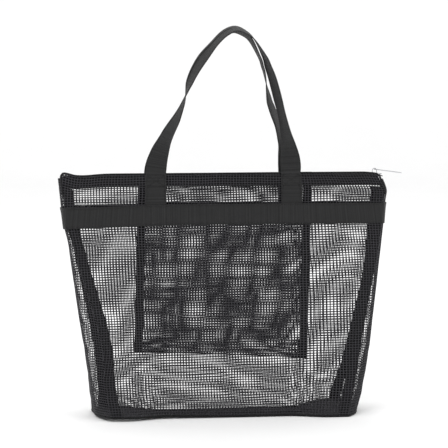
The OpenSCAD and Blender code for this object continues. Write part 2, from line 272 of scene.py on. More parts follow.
def ideal_shell():
    """Points of the bag's wall, rows up from the base and columns right round it."""
    z = np.linspace(0, HEIGHT, ROWS)[:, None]
    u = np.linspace(-1, 1, PANEL_COLUMNS)[None]
    s = np.linspace(-1, 1, GUSSET_COLUMNS)[None, 1:-1]
    wide, deep, bulge = half_width(z), half_depth(z), gusset_bulge(z)
    front = np.stack(np.broadcast_arrays(wide * u, -deep, z), -1)
    right = np.stack(np.broadcast_arrays(wide + 0.3 + bulge * (1 - s * s), deep * s, z), -1)
    rear = np.stack(np.broadcast_arrays(-wide * u, deep, z), -1)
    left = np.stack(np.broadcast_arrays(-wide - 0.3 - bulge * (1 - s * s), -deep * s, z), -1)
    return settle(np.concatenate([front, right, rear, left], 1))


def relax(points):
    """Lets the wall hang between the hem and the base, and returns where it came to rest."""
    rows, columns = points.shape[:2]
    index = np.arange(rows * columns).reshape(rows, columns)
    after = np.roll(index, -1, axis=1)
    faces = np.stack([index[:-1], after[:-1], after[1:], index[1:]], -1).reshape(-1, 4)
    data = bpy.data.meshes.new("wall_cloth")
    data.from_pydata((points.reshape(-1, 3) * MM).tolist(), [], faces.tolist())
    cloth = bpy.data.objects.new("wall_cloth", data)
    bpy.context.scene.collection.objects.link(cloth)
    pins = cloth.vertex_groups.new(name="sewn")
    held = index[[0, 1, rows - 3, rows - 2, rows - 1]].reshape(-1)
    pins.add([int(i) for i in held], 1.0, "REPLACE")
    corners = [0, PANEL_COLUMNS - 1, PANEL_COLUMNS + GUSSET_COLUMNS - 2,
               2 * PANEL_COLUMNS + GUSSET_COLUMNS - 3]
    pins.add([int(i) for i in index[2:-3][:, corners].reshape(-1)], 0.5, "REPLACE")
    ends = [c for start in corners[1::2] for c in range(start + 1, start + GUSSET_COLUMNS - 1)]
    pins.add([int(i) for i in index[2:-3][:, ends].reshape(-1)], 0.3, "REPLACE")
    hang = cloth.modifiers.new("Cloth", "CLOTH")
    hang.settings.quality = 6
    hang.settings.mass = 0.12
    hang.settings.tension_stiffness = 12
    hang.settings.compression_stiffness = 4
    hang.settings.shear_stiffness = 3
    hang.settings.bending_stiffness = 2.0
    hang.settings.shrink_min = -0.006
    hang.settings.vertex_group_mass = "sewn"
    hang.settings.pin_stiffness = 1.0
    hang.collision_settings.use_collision = False
    hang.point_cache.frame_end = 20
    for number in range(1, 21):
        bpy.context.scene.frame_set(number)
    graph = bpy.context.evaluated_depsgraph_get()
    rested = cloth.evaluated_get(graph).to_mesh()
    found = np.empty(rows * columns * 3)
    rested.vertices.foreach_get("co", found)
    cloth.evaluated_get(graph).to_mesh_clear()
    bpy.data.objects.remove(cloth)
    bpy.data.meshes.remove(data)
    bpy.context.scene.frame_set(1)
    moved = found.reshape(points.shape) / MM - points
    calm = np.ones(columns)
    for corner in corners + [columns]:
        calm = np.minimum(calm, np.abs(np.arange(columns) - corner) / 9)
    calm[ends] = 0.2
    moved *= np.maximum(calm, 0.2)[None, :, None]
    size = np.linalg.norm(moved, axis=-1, keepdims=True)
    return points + moved * np.minimum(1, 4.0 / np.maximum(size, 1e-6))


def make_shell():
    wall = ideal_shell()
    wall = relax(wall)
    p, g = PANEL_COLUMNS, GUSSET_COLUMNS
    closed = np.concatenate([wall, wall[:, :1]], 1)
    shell["front"] = Surface(closed[:, :p])
    shell["right"] = Surface(closed[:, p - 1:p + g - 1])
    shell["rear"] = Surface(closed[:, p + g - 2:2 * p + g - 2])
    shell["left"] = Surface(closed[:, 2 * p + g - 3:])


def panel(side):
    """Places x, distance up the slant and height off the cloth on the front or the rear."""
    surface = shell[side]
    facing = 1 if side == "front" else -1

    def place(x, up, height=0.0):
        share = np.asarray(x, float) / half_width(np.asarray(up, float) * math.cos(LEAN))
        return surface.at(np.asarray(up, float) / SLANT * (ROWS - 1),
                          (facing * share + 1) / 2 * (PANEL_COLUMNS - 1), height)
    return place


def gusset(side):
    """Places distance from the gusset's middle, height and height off the cloth."""
    surface = shell[side]

    def place(along, z, height=0.0):
        along, z, height = np.broadcast_arrays(np.asarray(along, float), z, height)
        row = z / HEIGHT * (ROWS - 1)
        flat_row, flat_along = row.reshape(-1), along.reshape(-1)
        r = np.clip(np.floor(flat_row).astype(int), 0, ROWS - 2)
        f = (flat_row - r)[:, None]
        reach = surface.reach[r] * (1 - f) + surface.reach[r + 1] * f
        after = np.clip((reach < flat_along[:, None]).sum(1), 1, surface.columns - 1)
        pick = np.arange(len(after))
        low, high = reach[pick, after - 1], reach[pick, after]
        column = after - 1 + (flat_along - low) / (high - low)
        return surface.at(row, column.reshape(row.shape), height)
    return place


def gusset_reach(side, z):
    surface = shell[side]
    row = np.asarray(z, float) / HEIGHT * (ROWS - 1)
    rows = np.arange(ROWS)
    return np.interp(row, rows, surface.reach[:, 0]), np.interp(row, rows, surface.reach[:, -1])


# ---------------------------------------------------------------- making meshes


def make_piece(name, points, faces, material, weave=None, shade_smooth=True):
    """A mesh object from points in millimetres and arrays of faces."""
    points = np.asarray(points, float).reshape(-1, 3)
    data = bpy.data.meshes.new(name)
    data.vertices.add(len(points))
    data.vertices.foreach_set("co", (points * MM).reshape(-1))
    sizes = np.concatenate([np.full(len(f), f.shape[1]) for f in faces])
    loops = np.concatenate([f.reshape(-1) for f in faces]).astype(np.int32)
    starts = np.concatenate([[0], np.cumsum(sizes)[:-1]]).astype(np.int32)
    data.loops.add(len(loops))
    data.loops.foreach_set("vertex_index", loops)
    data.polygons.add(len(sizes))
    data.polygons.foreach_set("loop_start", starts)
    data.update(calc_edges=True)
    data.validate()
    data.polygons.foreach_set("use_smooth", [shade_smooth] * len(data.polygons))
    if weave is not None:
        attribute = data.attributes.new("weave", "FLOAT_VECTOR", "POINT")
        attribute.data.foreach_set("vector", (np.asarray(weave, float) * MM).reshape(-1).astype(np.float32))
    data.materials.append(material)
    piece = bpy.data.objects.new(name, data)
    bpy.context.scene.collection.objects.link(piece)
    return piece


def tube_faces(rings, sides, closed=False):
    """Quads between the rings of a tube, and on to its first ring again where it is closed."""
    steps = rings if closed else rings - 1
    ring, corner = [a.reshape(-1) for a in np.meshgrid(np.arange(steps), np.arange(sides), indexing="ij")]
    after, beside = (ring + 1) % rings, (corner + 1) % sides
    return np.stack([ring * sides + corner, ring * sides + beside, after * sides + beside,
                     after * sides + corner], -1)


# Brings the area given for a lattice near to the surface that its slanted yarn faces make
YARN_AREA_SHARE = 0.9


def yarn_lattice(name, place, u_lines, v_lines, limits, material, skew=0.0, bend=0.35, seed=0):
    """Crossing coated yarns over a sheet. limits gives the lowest and highest u for each v.
    skew leans the upright yarns off the grain, in degrees, and bend is how far the yarns wander."""
    shape = bpy.context.scene.tote_shape
    half = shape.yarn_width / MM / 2
    rise = half * 0.85
    u, v = np.meshgrid(u_lines, v_lines)
    chance = np.random.default_rng(seed)
    waves = chance.uniform(0, 2 * math.pi, 6)
    u0, v0 = u, v
    middle = (v_lines[0] + v_lines[-1]) / 2
    u = u0 + math.tan(math.radians(skew)) * (v0 - middle) + bend * (
        np.sin(v0 / 17 + u0 / 60 + waves[0]) + 0.6 * np.sin(v0 / 9.5 - u0 / 31 + waves[1]))
    wander = bend * (np.sin(u0 / 19 + v0 / 55 + waves[2]) + 0.6 * np.sin(u0 / 8.7 - v0 / 37 + waves[3]))
    wander = wander - math.tan(math.radians(skew)) * u0 * 0.5
    edge = np.minimum(smooth((v0 - v_lines[0]) / 25), smooth((v_lines[-1] - v0) / 25))
    v = v0 + wander * edge
    low, high = limits(v)
    side = np.where(u < low, -1, np.where(u > high, 1, 0))
    u = np.clip(u, low, high)
    columns, rows = len(u_lines), len(v_lines)
    count = rows * columns
    layers = [place(u, v, rise), place(u, v, -rise)]
    layers += [place(u + a * half, v + b * half, 0.0) for a, b in ((1, 1), (-1, 1), (-1, -1), (1, -1))]
    points = np.concatenate([layer.reshape(-1, 3) for layer in layers])
    top, under, pp, mp, mm, pm = range(6)

    def index(layer, i, j):
        return layer * count + j * columns + i

    has_level = (u[:, 1:] - u[:, :-1]) > 0.35
    has_upright = (side[:-1] == 0) | (side[1:] == 0)
    j, i = np.nonzero(has_level)
    level = [
        [index(top, i, j), index(top, i + 1, j), index(mp, i + 1, j), index(pp, i, j)],
        [index(top, i, j), index(pm, i, j), index(mm, i + 1, j), index(top, i + 1, j)],
        [index(under, i, j), index(pp, i, j), index(mp, i + 1, j), index(under, i + 1, j)],
        [index(under, i, j), index(under, i + 1, j), index(mm, i + 1, j), index(pm, i, j)]]
    j, i = np.nonzero(has_upright)
    upright = [
        [index(top, i, j), index(pp, i, j), index(pm, i, j + 1), index(top, i, j + 1)],
        [index(top, i, j), index(top, i, j + 1), index(mm, i, j + 1), index(mp, i, j)],
        [index(under, i, j), index(under, i, j + 1), index(pm, i, j + 1), index(pp, i, j)],
        [index(under, i, j), index(mp, i, j), index(mm, i, j + 1), index(under, i, j + 1)]]
    quads = np.concatenate([np.stack(f, -1) for f in level + upright])
    pads = np.pad(has_level, ((0, 0), (1, 1))), np.pad(has_upright, ((1, 1), (0, 0)))
    right, left, above, below = pads[0][:, 1:], pads[0][:, :-1], pads[1][1:], pads[1][:-1]
    crossing = right | left | above | below
    ends = []
    for there, a, b in ((right, pm, pp), (left, mp, mm), (above, pp, mp), (below, mm, pm)):
        j, i = np.nonzero(crossing & ~there)
        ends += [np.stack([index(top, i, j), index(a, i, j), index(b, i, j)], -1),
                 np.stack([index(under, i, j), index(b, i, j), index(a, i, j)], -1)]
    ends = np.concatenate(ends)
    used, flat = np.unique(np.concatenate([quads.reshape(-1), ends.reshape(-1)]), return_inverse=True)
    quads, ends = flat[:quads.size].reshape(-1, 4), flat[quads.size:].reshape(-1, 3)
    uv = np.stack([np.tile(u.reshape(-1), 6), np.tile(v.reshape(-1), 6), np.zeros(count * 6)], -1)
    piece = make_piece(name, points[used], [quads, ends], material, weave=uv[used])
    flat_side = math.hypot(half, rise)
    yarn_length = (u[:, 1:] - u[:, :-1]).sum() + (v[1:] - v[:-1])[has_upright].sum()
    piece["yarn_area"] = float(yarn_length * 2 * flat_side * YARN_AREA_SHARE) * MM * MM
    return piece


def lines(low, high, pitch):
    """Even places for yarns from one edge to the other, as near to a pitch as fits."""
    count = int(round((high - low) / pitch))
    return np.linspace(low, high, count + 1)


def section(half_w, half_t, across):
    """Outline of a strap: flat faces with rolled edges."""
    inner = half_w - half_t * 0.9
    top = [(a, half_t) for a in np.linspace(-inner, inner, across + 1)]
    roll = [(-half_w, 0.0), (-half_w + 0.28 * half_t, 0.62 * half_t)]
    right = [(half_w - 0.28 * half_t, 0.62 * half_t), (half_w, 0.0), (half_w - 0.28 * half_t, -0.62 * half_t)]
    under = [(a, -half_t) for a in np.linspace(inner, -inner, across + 1)]
    return np.array(roll + top + right + under + [(-half_w + 0.28 * half_t, -0.62 * half_t)])


def strip_faces(rings, size):
    """Faces of a closed strap: its sides, then quads and triangles across its two ends."""
    sides = tube_faces(rings, size)
    ends = []
    for start, flip in ((0, True), ((rings - 1) * size, False)):
        for k in range(1, size // 2):
            quad = [start + k % size, start + k + 1, start + size - k - 1, start + size - k]
            if k == size // 2 - 1:
                quad = quad[:2] + quad[3:]
            ends.append((quad[::-1] if flip else quad))
        first = [start, start + 1, start + size - 1]
        ends.append(first[::-1] if flip else first)
    quads = np.array([e for e in ends if len(e) == 4])
    triangles = np.array([e for e in ends if len(e) == 3])
    return [sides, quads, triangles]


def strap(name, at, along, width, thickness, material, across=10, narrow=None):
    """A strap or tape. at(along, across, height) places a point; along lists its stations."""
    outline = section(width / 2, thickness / 2, across)
    s = np.asarray(along, float)[:, None]
    scale = np.ones(len(along)) if narrow is None else np.asarray(narrow)
    a = outline[None, :, 0] * scale[:, None]
    h = outline[None, :, 1] + 0 * s
    points = at(s + 0 * a, a, h)
    weave = np.stack(np.broadcast_arrays(a, s, h), -1)
    return make_piece(name, points, strip_faces(len(along), len(outline)), material, weave=weave)


def stitches(name, place, starts, ends, material, radius=0.3, lift=0.0):
    """Short raised stitches between pairs of points (along, across) on a surface."""
    starts, ends = np.asarray(starts, float), np.asarray(ends, float)
    share = np.array([0.0, 0.18, 0.5, 0.82, 1.0])
    size = np.array([0.35, 0.9, 1.0, 0.9, 0.35])
    rise = np.array([-0.5, 0.35, 0.75, 0.35, -0.5]) * radius + lift
    mid = starts[:, None] * (1 - share[None, :, None]) + ends[:, None] * share[None, :, None]
    base = place(mid[..., 0], mid[..., 1], rise[None] + 0 * mid[..., 0])
    above = place(mid[..., 0], mid[..., 1], rise[None] + 1.0 + 0 * mid[..., 0])
    normal = above - base
    along = base[:, -1:] - base[:, :1]
    along = along / np.maximum(np.linalg.norm(along, axis=-1, keepdims=True), 1e-9)
    wide = np.cross(along, normal)
    sides = 6
    turn = np.arange(sides) * 2 * math.pi / sides
    ring = (base[:, :, None] + radius * size[None, :, None, None]
            * (np.cos(turn)[None, None, :, None] * wide[:, :, None]
               + np.sin(turn)[None, None, :, None] * normal[:, :, None]))
    count = len(starts)
    one = []
    for r in range(4):
        for k in range(sides):
            one.append([r * sides + k, r * sides + (k + 1) % sides,
                        (r + 1) * sides + (k + 1) % sides, (r + 1) * sides + k])
    for start, flip in ((0, True), (4 * sides, False)):
        for quad in ([0, 1, 2, 3], [0, 3, 4, 5]):
            face = [start + k for k in quad]
            one.append(face[::-1] if flip else face)
    faces = (np.array(one)[None] + (np.arange(count) * 5 * sides)[:, None, None]).reshape(-1, 4)
    return make_piece(name, ring, [faces], material)


def seam_row(low, high, across, pitch):
    """Starts and ends of a straight row of stitches along one direction."""
    count = max(1, int(round((high - low) / pitch)))
    edge = np.linspace(low, high, count + 1)
    gap = (high - low) / count * 0.2
    starts = np.stack([edge[:-1] + gap / 2, np.full(count, across)], -1)
    ends = np.stack([edge[1:] - gap / 2, np.full(count, across)], -1)
    return starts, ends


def together(rows):
    """Starts and ends of several rows of stitches, one after another."""
    return np.concatenate([row[0] for row in rows]), np.concatenate([row[1] for row in rows])


def line_row(a, b, pitch):
    """Starts and ends of a row of stitches from one point to another."""
    a, b = np.array(a, float), np.array(b, float)
    count = max(1, int(round(np.linalg.norm(b - a) / pitch)))
    t = np.linspace(0, 1, count + 1)[:, None]
    gap = 0.1 / count
    return a + (b - a) * (t[:-1] + gap), a + (b - a) * (t[1:] - gap)


def finish_piece(piece, body, slot, *nodes):
    """Says which body a piece rides on and the frame nodes it stands for. The slot argument is not used."""
    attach(piece, body)
    if nodes:
        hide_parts(*nodes)
    return piece


# ---------------------------------------------------------------- materials


def node(tree, kind, **values):
    """A new node of a kind, with its settings."""
    made = tree.nodes.new(kind)
    for key, value in values.items():
        setattr(made, key, value)
    return made


def maths(tree, operation, a, b=None):
    """A sum on numbers or on the outputs of other nodes."""
    made = node(tree, "ShaderNodeMath", operation=operation)
    for socket, value in zip(made.inputs, (a, b)):
        if value is None:
            continue
        if isinstance(value, (int, float)):
            socket.default_value = value
        else:
            tree.links.new(value, socket)
    return made.outputs[0]


def noise(tree, vector, scale, detail):
    """A noise texture, whose scale is a number or comes from another node."""
    made = node(tree, "ShaderNodeTexNoise")
    made.inputs["Detail"].default_value = detail
    tree.links.new(vector, made.inputs["Vector"])
    if isinstance(scale, (int, float)):
        made.inputs["Scale"].default_value = scale
    else:
        tree.links.new(scale, made.inputs["Scale"])
    return made


def shade_colour(tree, given, bright, out):
    """Multiplies a group's colour by a brightness and puts it out."""
    tinted = node(tree, "ShaderNodeMix", data_type="RGBA", blend_type="MULTIPLY")
    tinted.inputs["Factor"].default_value = 1
    grey = node(tree, "ShaderNodeCombineColor")
    for k in range(3):
        tree.links.new(bright, grey.inputs[k])
    tree.links.new(given.outputs["Colour"], tinted.inputs["A"])
    tree.links.new(grey.outputs[0], tinted.inputs["B"])
    tree.links.new(tinted.outputs["Result"], out.inputs["Colour"])


def add_bump(tree, height, strength, distance):
    """Raises a material's surface by a height from 0 to 1."""
    raised = node(tree, "ShaderNodeBump")
    raised.inputs["Strength"].default_value = strength
    raised.inputs["Distance"].default_value = distance
    tree.links.new(height, raised.inputs["Height"])
    tree.links.new(raised.outputs["Normal"], tree.nodes["Principled BSDF"].inputs["Normal"])


def new_group(name, inputs, outputs):
    tree = bpy.data.node_groups.new(name, "ShaderNodeTree")
    for title, kind, default in inputs:
        socket = tree.interface.new_socket(title, in_out="INPUT", socket_type=kind)
        socket.default_value = default
    for title, kind in outputs:
        tree.interface.new_socket(title, in_out="OUTPUT", socket_type=kind)
    return tree, node(tree, "NodeGroupInput"), node(tree, "NodeGroupOutput")


def woven_group():
    """Crossed threads read from the cloth's own across and along directions, with painted shade in the grooves between
    them.
    """
    found = bpy.data.node_groups.get("Woven Threads")
    if found:
        return found
    # This group paints shade into the weave's grooves; one of its number inputs sets how dark that painted shade is
    tree, given, out = new_group(
        "Woven Threads",
        [("Colour", "NodeSocketColor", (0.02, 0.02, 0.02, 1)), ("Rib Width", "NodeSocketFloat", 0.0012),
         ("Pick Length", "NodeSocketFloat", 0.0009), ("Contrast", "NodeSocketFloat", 0.5),
         ("Fade", "NodeSocketFloat", 0.15), ("Streak", "NodeSocketFloat", 0.15)],
        [("Colour", "NodeSocketColor"), ("Height", "NodeSocketFloat"), ("Roughness", "NodeSocketFloat")])
    cloth = node(tree, "ShaderNodeAttribute", attribute_name="weave")
    split = node(tree, "ShaderNodeSeparateXYZ")
    tree.links.new(cloth.outputs["Vector"], split.inputs[0])
    across = maths(tree, "DIVIDE", split.outputs[0], given.outputs["Rib Width"])
    along = maths(tree, "DIVIDE", split.outputs[1], given.outputs["Pick Length"])
    column = maths(tree, "FLOOR", across)
    shifted = maths(tree, "ADD", along, maths(tree, "MULTIPLY", column, 0.5))
    rib = maths(tree, "ABSOLUTE", maths(tree, "SINE", maths(tree, "MULTIPLY", across, math.pi)))
    pick = maths(tree, "ABSOLUTE", maths(tree, "SINE", maths(tree, "MULTIPLY", shifted, math.pi)))
    height = maths(tree, "MULTIPLY", maths(tree, "POWER", rib, 0.6), maths(tree, "POWER", pick, 0.5))
    tree.links.new(height, out.inputs["Height"])
    place = node(tree, "ShaderNodeTexCoord")
    fading = noise(tree, place.outputs["Object"], 14, 4)
    lint = noise(tree, place.outputs["Object"], 900, 2)
    # Painted shade: the colour is darkened where the weave's height is low, in the grooves between ribs and picks
    shade = maths(tree, "ADD", maths(tree, "MULTIPLY", height, given.outputs["Contrast"]),
                  maths(tree, "SUBTRACT", 1.0, given.outputs["Contrast"]))
    worn = maths(tree, "ADD", 1.0, maths(tree, "MULTIPLY", maths(tree, "SUBTRACT", fading.outputs["Fac"], 0.5),
                                         maths(tree, "MULTIPLY", given.outputs["Fade"], 4.0)))
    fuzz = maths(tree, "ADD", 0.8, maths(tree, "MULTIPLY", lint.outputs["Fac"], 0.4))
    streaks = node(tree, "ShaderNodeTexNoise", noise_dimensions="1D")
    streaks.inputs["Scale"].default_value = 420
    streaks.inputs["Detail"].default_value = 2
    tree.links.new(split.outputs[1], streaks.inputs["W"])
    streaked = maths(tree, "ADD", 1.0,
                     maths(tree, "MULTIPLY", maths(tree, "SUBTRACT", streaks.outputs["Fac"], 0.5),
                           maths(tree, "MULTIPLY", given.outputs["Streak"], 6.0)))
    # Real fading and lint, times the painted shade in the grooves
    wear_and_groove_shade = maths(tree, "MULTIPLY", maths(tree, "MULTIPLY", shade, worn), fuzz)
    bright = maths(tree, "MULTIPLY", wear_and_groove_shade, streaked)
    shade_colour(tree, given, bright, out)
    rough = maths(tree, "ADD", 0.62, maths(tree, "MULTIPLY", fading.outputs["Fac"], 0.25))
    tree.links.new(rough, out.inputs["Roughness"])
    return tree


def yarn_group():
    """A coated yarn: even colour, slight twist and small changes of gloss."""
    found = bpy.data.node_groups.get("Coated Yarn")
    if found:
        return found
    tree, given, out = new_group(
        "Coated Yarn",
        [("Colour", "NodeSocketColor", (0.03, 0.03, 0.03, 1)), ("Variation", "NodeSocketFloat", 0.3),
         ("Grain Size", "NodeSocketFloat", 700.0)],
        [("Colour", "NodeSocketColor"), ("Height", "NodeSocketFloat"), ("Roughness", "NodeSocketFloat")])
    place = node(tree, "ShaderNodeTexCoord")
    broad = noise(tree, place.outputs["Object"], 22, 3)
    grain = noise(tree, place.outputs["Object"], given.outputs["Grain Size"], 3)
    spread = maths(tree, "ADD", maths(tree, "SUBTRACT", broad.outputs["Fac"], 0.5),
                   maths(tree, "MULTIPLY", maths(tree, "SUBTRACT", grain.outputs["Fac"], 0.5), 0.6))
    bright = maths(tree, "ADD", 1.0,
                   maths(tree, "MULTIPLY", spread, maths(tree, "MULTIPLY", given.outputs["Variation"], 2.0)))
    shade_colour(tree, given, bright, out)
    tree.links.new(grain.outputs["Fac"], out.inputs["Height"])
    rough = maths(tree, "ADD", 0.40, maths(tree, "MULTIPLY", broad.outputs["Fac"], 0.25))
    tree.links.new(rough, out.inputs["Roughness"])
    return tree


def finish_material(name, group, values, bump, distance, **shader):
    """A material whose colour, roughness and bump come from a shared group."""
    found = bpy.data.materials.get(name)
    if found:
        return found
    made = bpy.data.materials.new(name)
    made.use_nodes = True
    tree = made.node_tree
    principled = tree.nodes["Principled BSDF"]
    for key, value in shader.items():
        principled.inputs[key.replace("_", " ")].default_value = value
    source = node(tree, "ShaderNodeGroup")
    source.node_tree = group
    for key, value in values.items():
        source.inputs[key].default_value = value
    tree.links.new(source.outputs["Colour"], principled.inputs["Base Color"])
    tree.links.new(source.outputs["Roughness"], principled.inputs["Roughness"])
    add_bump(tree, source.outputs["Height"], bump, distance)
    return made


def colour(name):
    return (*getattr(bpy.context.scene.tote_finish, name), 1.0)


def mesh_finish():
    return finish_material("coated mesh yarn", yarn_group(),
                           {"Colour": colour("mesh_colour"), "Variation": 0.3},
                           0.25, 0.0002, Specular_IOR_Level=0.35)


def tape_finish():
    # The weave's grooves get painted shade, its strength given here
    return finish_material("woven tape", woven_group(),
                           {"Colour": colour("tape_colour"), "Rib Width": 0.0008, "Pick Length": 0.0006,
                            "Contrast": 0.4, "Fade": 0.2}, 0.5, 0.0002, Specular_IOR_Level=0.18,
                           Sheen_Weight=0.05)


def webbing_finish():
    # The weave's grooves get painted shade, its strength given here
    return finish_material("ribbed webbing", woven_group(),
                           {"Colour": colour("webbing_colour"), "Rib Width": 0.0016, "Pick Length": 0.0011,
                            "Contrast": 0.55, "Fade": 0.12, "Streak": 0.3}, 0.9, 0.0005, Specular_IOR_Level=0.26,
                           Sheen_Weight=0.08)


def zip_tape_finish():
    # The weave's grooves get painted shade, its strength given here
    return finish_material("zip tape", woven_group(),
                           {"Colour": colour("tape_colour"), "Rib Width": 0.0007, "Pick Length": 0.0005,
                            "Contrast": 0.4, "Fade": 0.1}, 0.4, 0.0002, Specular_IOR_Level=0.2)


def coil_finish():
    return finish_material("nylon coil", yarn_group(), {"Colour": (0.014, 0.014, 0.015, 1), "Variation": 0.1},
                           0.1, 0.0001, Specular_IOR_Level=0.4)


def thread_finish():
    return finish_material("sewing thread", yarn_group(),
                           {"Colour": (0.006, 0.006, 0.0065, 1), "Variation": 0.2, "Grain Size": 2500.0},
                           0.3, 0.0001, Specular_IOR_Level=0.3)


def metal_finish():
    """Nickel plating with a fine brushed grain and slight tarnish."""
    found = bpy.data.materials.get("nickel plate")
    if found:
        return found
    made = bpy.data.materials.new("nickel plate")
    made.use_nodes = True
    tree = made.node_tree
    principled = tree.nodes["Principled BSDF"]
    principled.inputs["Metallic"].default_value = 1.0
    place = node(tree, "ShaderNodeTexCoord")
    stretch = node(tree, "ShaderNodeMapping")
    stretch.inputs["Scale"].default_value = (60, 2200, 2200)
    tree.links.new(place.outputs["Object"], stretch.inputs["Vector"])
    grain = noise(tree, stretch.outputs["Vector"], 1, 3)
    tarnish = noise(tree, place.outputs["Object"], 180, 4)
    tint = node(tree, "ShaderNodeMix", data_type="RGBA")
    tint.inputs["A"].default_value = colour("metal_colour")
    tint.inputs["B"].default_value = (0.56, 0.57, 0.585, 1)
    tree.links.new(tarnish.outputs["Fac"], tint.inputs["Factor"])
    tree.links.new(tint.outputs["Result"], principled.inputs["Base Color"])
    rough = maths(tree, "ADD", 0.20, maths(tree, "MULTIPLY", grain.outputs["Fac"], 0.22))
    tree.links.new(rough, principled.inputs["Roughness"])
    add_bump(tree, grain.outputs["Fac"], 0.12, 0.0001)
    return made


# ---------------------------------------------------------------- camera, floor and light


class TOTE_OT_stage(bpy.types.Operator):
    """Sets the camera, the pale floor and the soft studio light"""

    bl_idname = "tote.stage"
    bl_label = "Camera, Floor and Light"

    def execute(self, context):
        scene = context.scene
        turn, tilt, distance = math.radians(-7), math.radians(5.2), 3.0
        forward = np.array([-math.sin(turn) * math.cos(tilt), math.cos(turn) * math.cos(tilt), -math.sin(tilt)])
        aim = np.array([0.0010, 0.0, 0.2819])
        lens = bpy.data.cameras.new("view")
        lens.lens, lens.sensor_width, lens.sensor_fit = 162.77, 36.0, "HORIZONTAL"
        camera = bpy.data.objects.new("view", lens)
        camera.location = aim - forward * distance
        camera.rotation_euler = (math.pi / 2 - tilt, 0, turn)
        scene.collection.objects.link(camera)
        scene.camera = camera
        scene.view_settings.view_transform = "Standard"

        world = bpy.data.worlds.new("soft room")
        scene.world = world
        world.use_nodes = True
        sky = world.node_tree.nodes["Background"]
        sky.inputs["Color"].default_value = (1, 1, 1, 1)
        sky.inputs["Strength"].default_value = 1.0

        paint = bpy.data.materials.new("pale floor")
        paint.use_nodes = True
        tree = paint.node_tree
        principled = tree.nodes["Principled BSDF"]
        principled.inputs["Specular IOR Level"].default_value = 0.1
        principled.inputs["Roughness"].default_value = 0.9
        place = node(tree, "ShaderNodeTexCoord")
        mottle = node(tree, "ShaderNodeTexNoise")
        mottle.inputs["Scale"].default_value = 3
        tree.links.new(place.outputs["Object"], mottle.inputs["Vector"])
        tone = node(tree, "ShaderNodeMix", data_type="RGBA")
        tone.inputs["A"].default_value = (0.95, 0.95, 0.95, 1)
        tone.inputs["B"].default_value = (0.98, 0.98, 0.98, 1)
        tree.links.new(mottle.outputs["Fac"], tone.inputs["Factor"])
        tree.links.new(tone.outputs["Result"], principled.inputs["Base Color"])
        width, reach, wall = 6.0, 5.0, 3.0
        profile = [(-6.0, 0.0), (reach, 0.0)]
        profile += [(reach + 1.0 * math.sin(a), 1.0 - 1.0 * math.cos(a))
                    for a in np.linspace(0.1, math.pi / 2, 10)]
        profile += [(reach + 1.0, wall)]
        points = [(x * width, y, z - 0.0005) for y, z in profile for x in (-1, 1)]
        faces = np.array([[2 * k, 2 * k + 1, 2 * k + 3, 2 * k + 2] for k in range(len(profile) - 1)])
        floor = make_piece("floor", np.array(points) / MM, [faces], paint)

        for name, place_at, size, power in (
                ("key light", (-1.6, -2.4, 2.3), 1.8, 30.0), ("fill light", (1.9, -2.2, 1.6), 1.8, 16.0),
                ("back light", (0.2, 2.0, 2.4), 1.6, 14.0)):
            lamp = bpy.data.lights.new(name, "AREA")
            lamp.shape, lamp.size, lamp.energy = "DISK", size, power
            light = bpy.data.objects.new(name, lamp)
            light.location = place_at
            direction = aim - np.array(place_at)
            flat = math.hypot(direction[0], direction[1])
            light.rotation_euler = (math.pi / 2 + math.atan2(direction[2], flat), 0,
                                    math.atan2(direction[1], direction[0]) - math.pi / 2)
            scene.collection.objects.link(light)
        return {"FINISHED"}


# ---------------------------------------------------------------- mesh sheets

HEM = 20.0
FOLD_GAP = 3.4
SHEET_FOOT = 0.8
GUSSET_TOP = 351.0
# How far each sheet's upright yarns lean off the grain, in degrees
GRAIN_SKEW = {"front": 0.5, "rear": -3.5, "base": 0.6, "pocket_back": -7.0, "pocket_front": 5.0}


def folded(place):
    """Carries a sheet up to the hem, over its fold and down the inside."""
    radius = FOLD_GAP / 2
    turn = math.pi * radius

    def at(x, up, height=0.0):
        up, height = np.asarray(up, float), np.asarray(height, float)
        over = np.clip((up - (SLANT - radius)) / turn, 0, 1) * math.pi
        down = np.maximum(up - (SLANT - radius) - turn, 0)
        level = np.minimum(up, SLANT - radius) + radius * np.sin(over) - down
        off = -radius * (1 - np.cos(over)) + height * np.cos(over)
        return place(x, level + height * np.sin(over), off)
    return at


def corner_round(up):
    """How far the sheet's side edge curves in near the hem."""
    radius = 6.0
    rise = np.clip((np.asarray(up, float) - (SLANT - radius)) / radius, 0, 1)
    return radius * (1 - np.sqrt(np.maximum(0, 1 - rise * rise)))


def sheet_piece(piece, node_name, body):
    """Attaches a woven lattice to its body, where one is given, hides the frame node that it stands for and drops its
    yarn area.
    """
    if body:
        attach(piece, body)
    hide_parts(node_name)
    # This is the yarns' own surface, not the area inside the cut's outline
    del piece["yarn_area"]
    return piece


class TOTE_OT_panels(bpy.types.Operator):
    """Weaves the front and rear sheets, folded over at the hem"""

    bl_idname = "tote.panels"
    bl_label = "Front and Rear Sheets"

    def execute(self, context):
        shape = context.scene.tote_shape
        across, upward = shape.yarn_pitch_across / MM, shape.yarn_pitch_up / MM
        top = SLANT + FOLD_GAP * 0.6 + HEM - 2
        for side in ("front", "rear"):
            at = folded(panel(side))

            def limits(v):
                level = np.minimum(v, 2 * SLANT - v)
                half = half_width(level * math.cos(LEAN)) - corner_round(level)
                return -half, half

            x_lines = lines(-TOP_HALF - 24, TOP_HALF + 24, across)
            piece = yarn_lattice(f"{side}_sheet", at, x_lines, lines(SHEET_FOOT, top, upward), limits, mesh_finish(),
                                 GRAIN_SKEW[side], seed=1 if side == "front" else 2)
            sheet_piece(piece, f"{side}_panel", "bag")
        return {"FINISHED"}


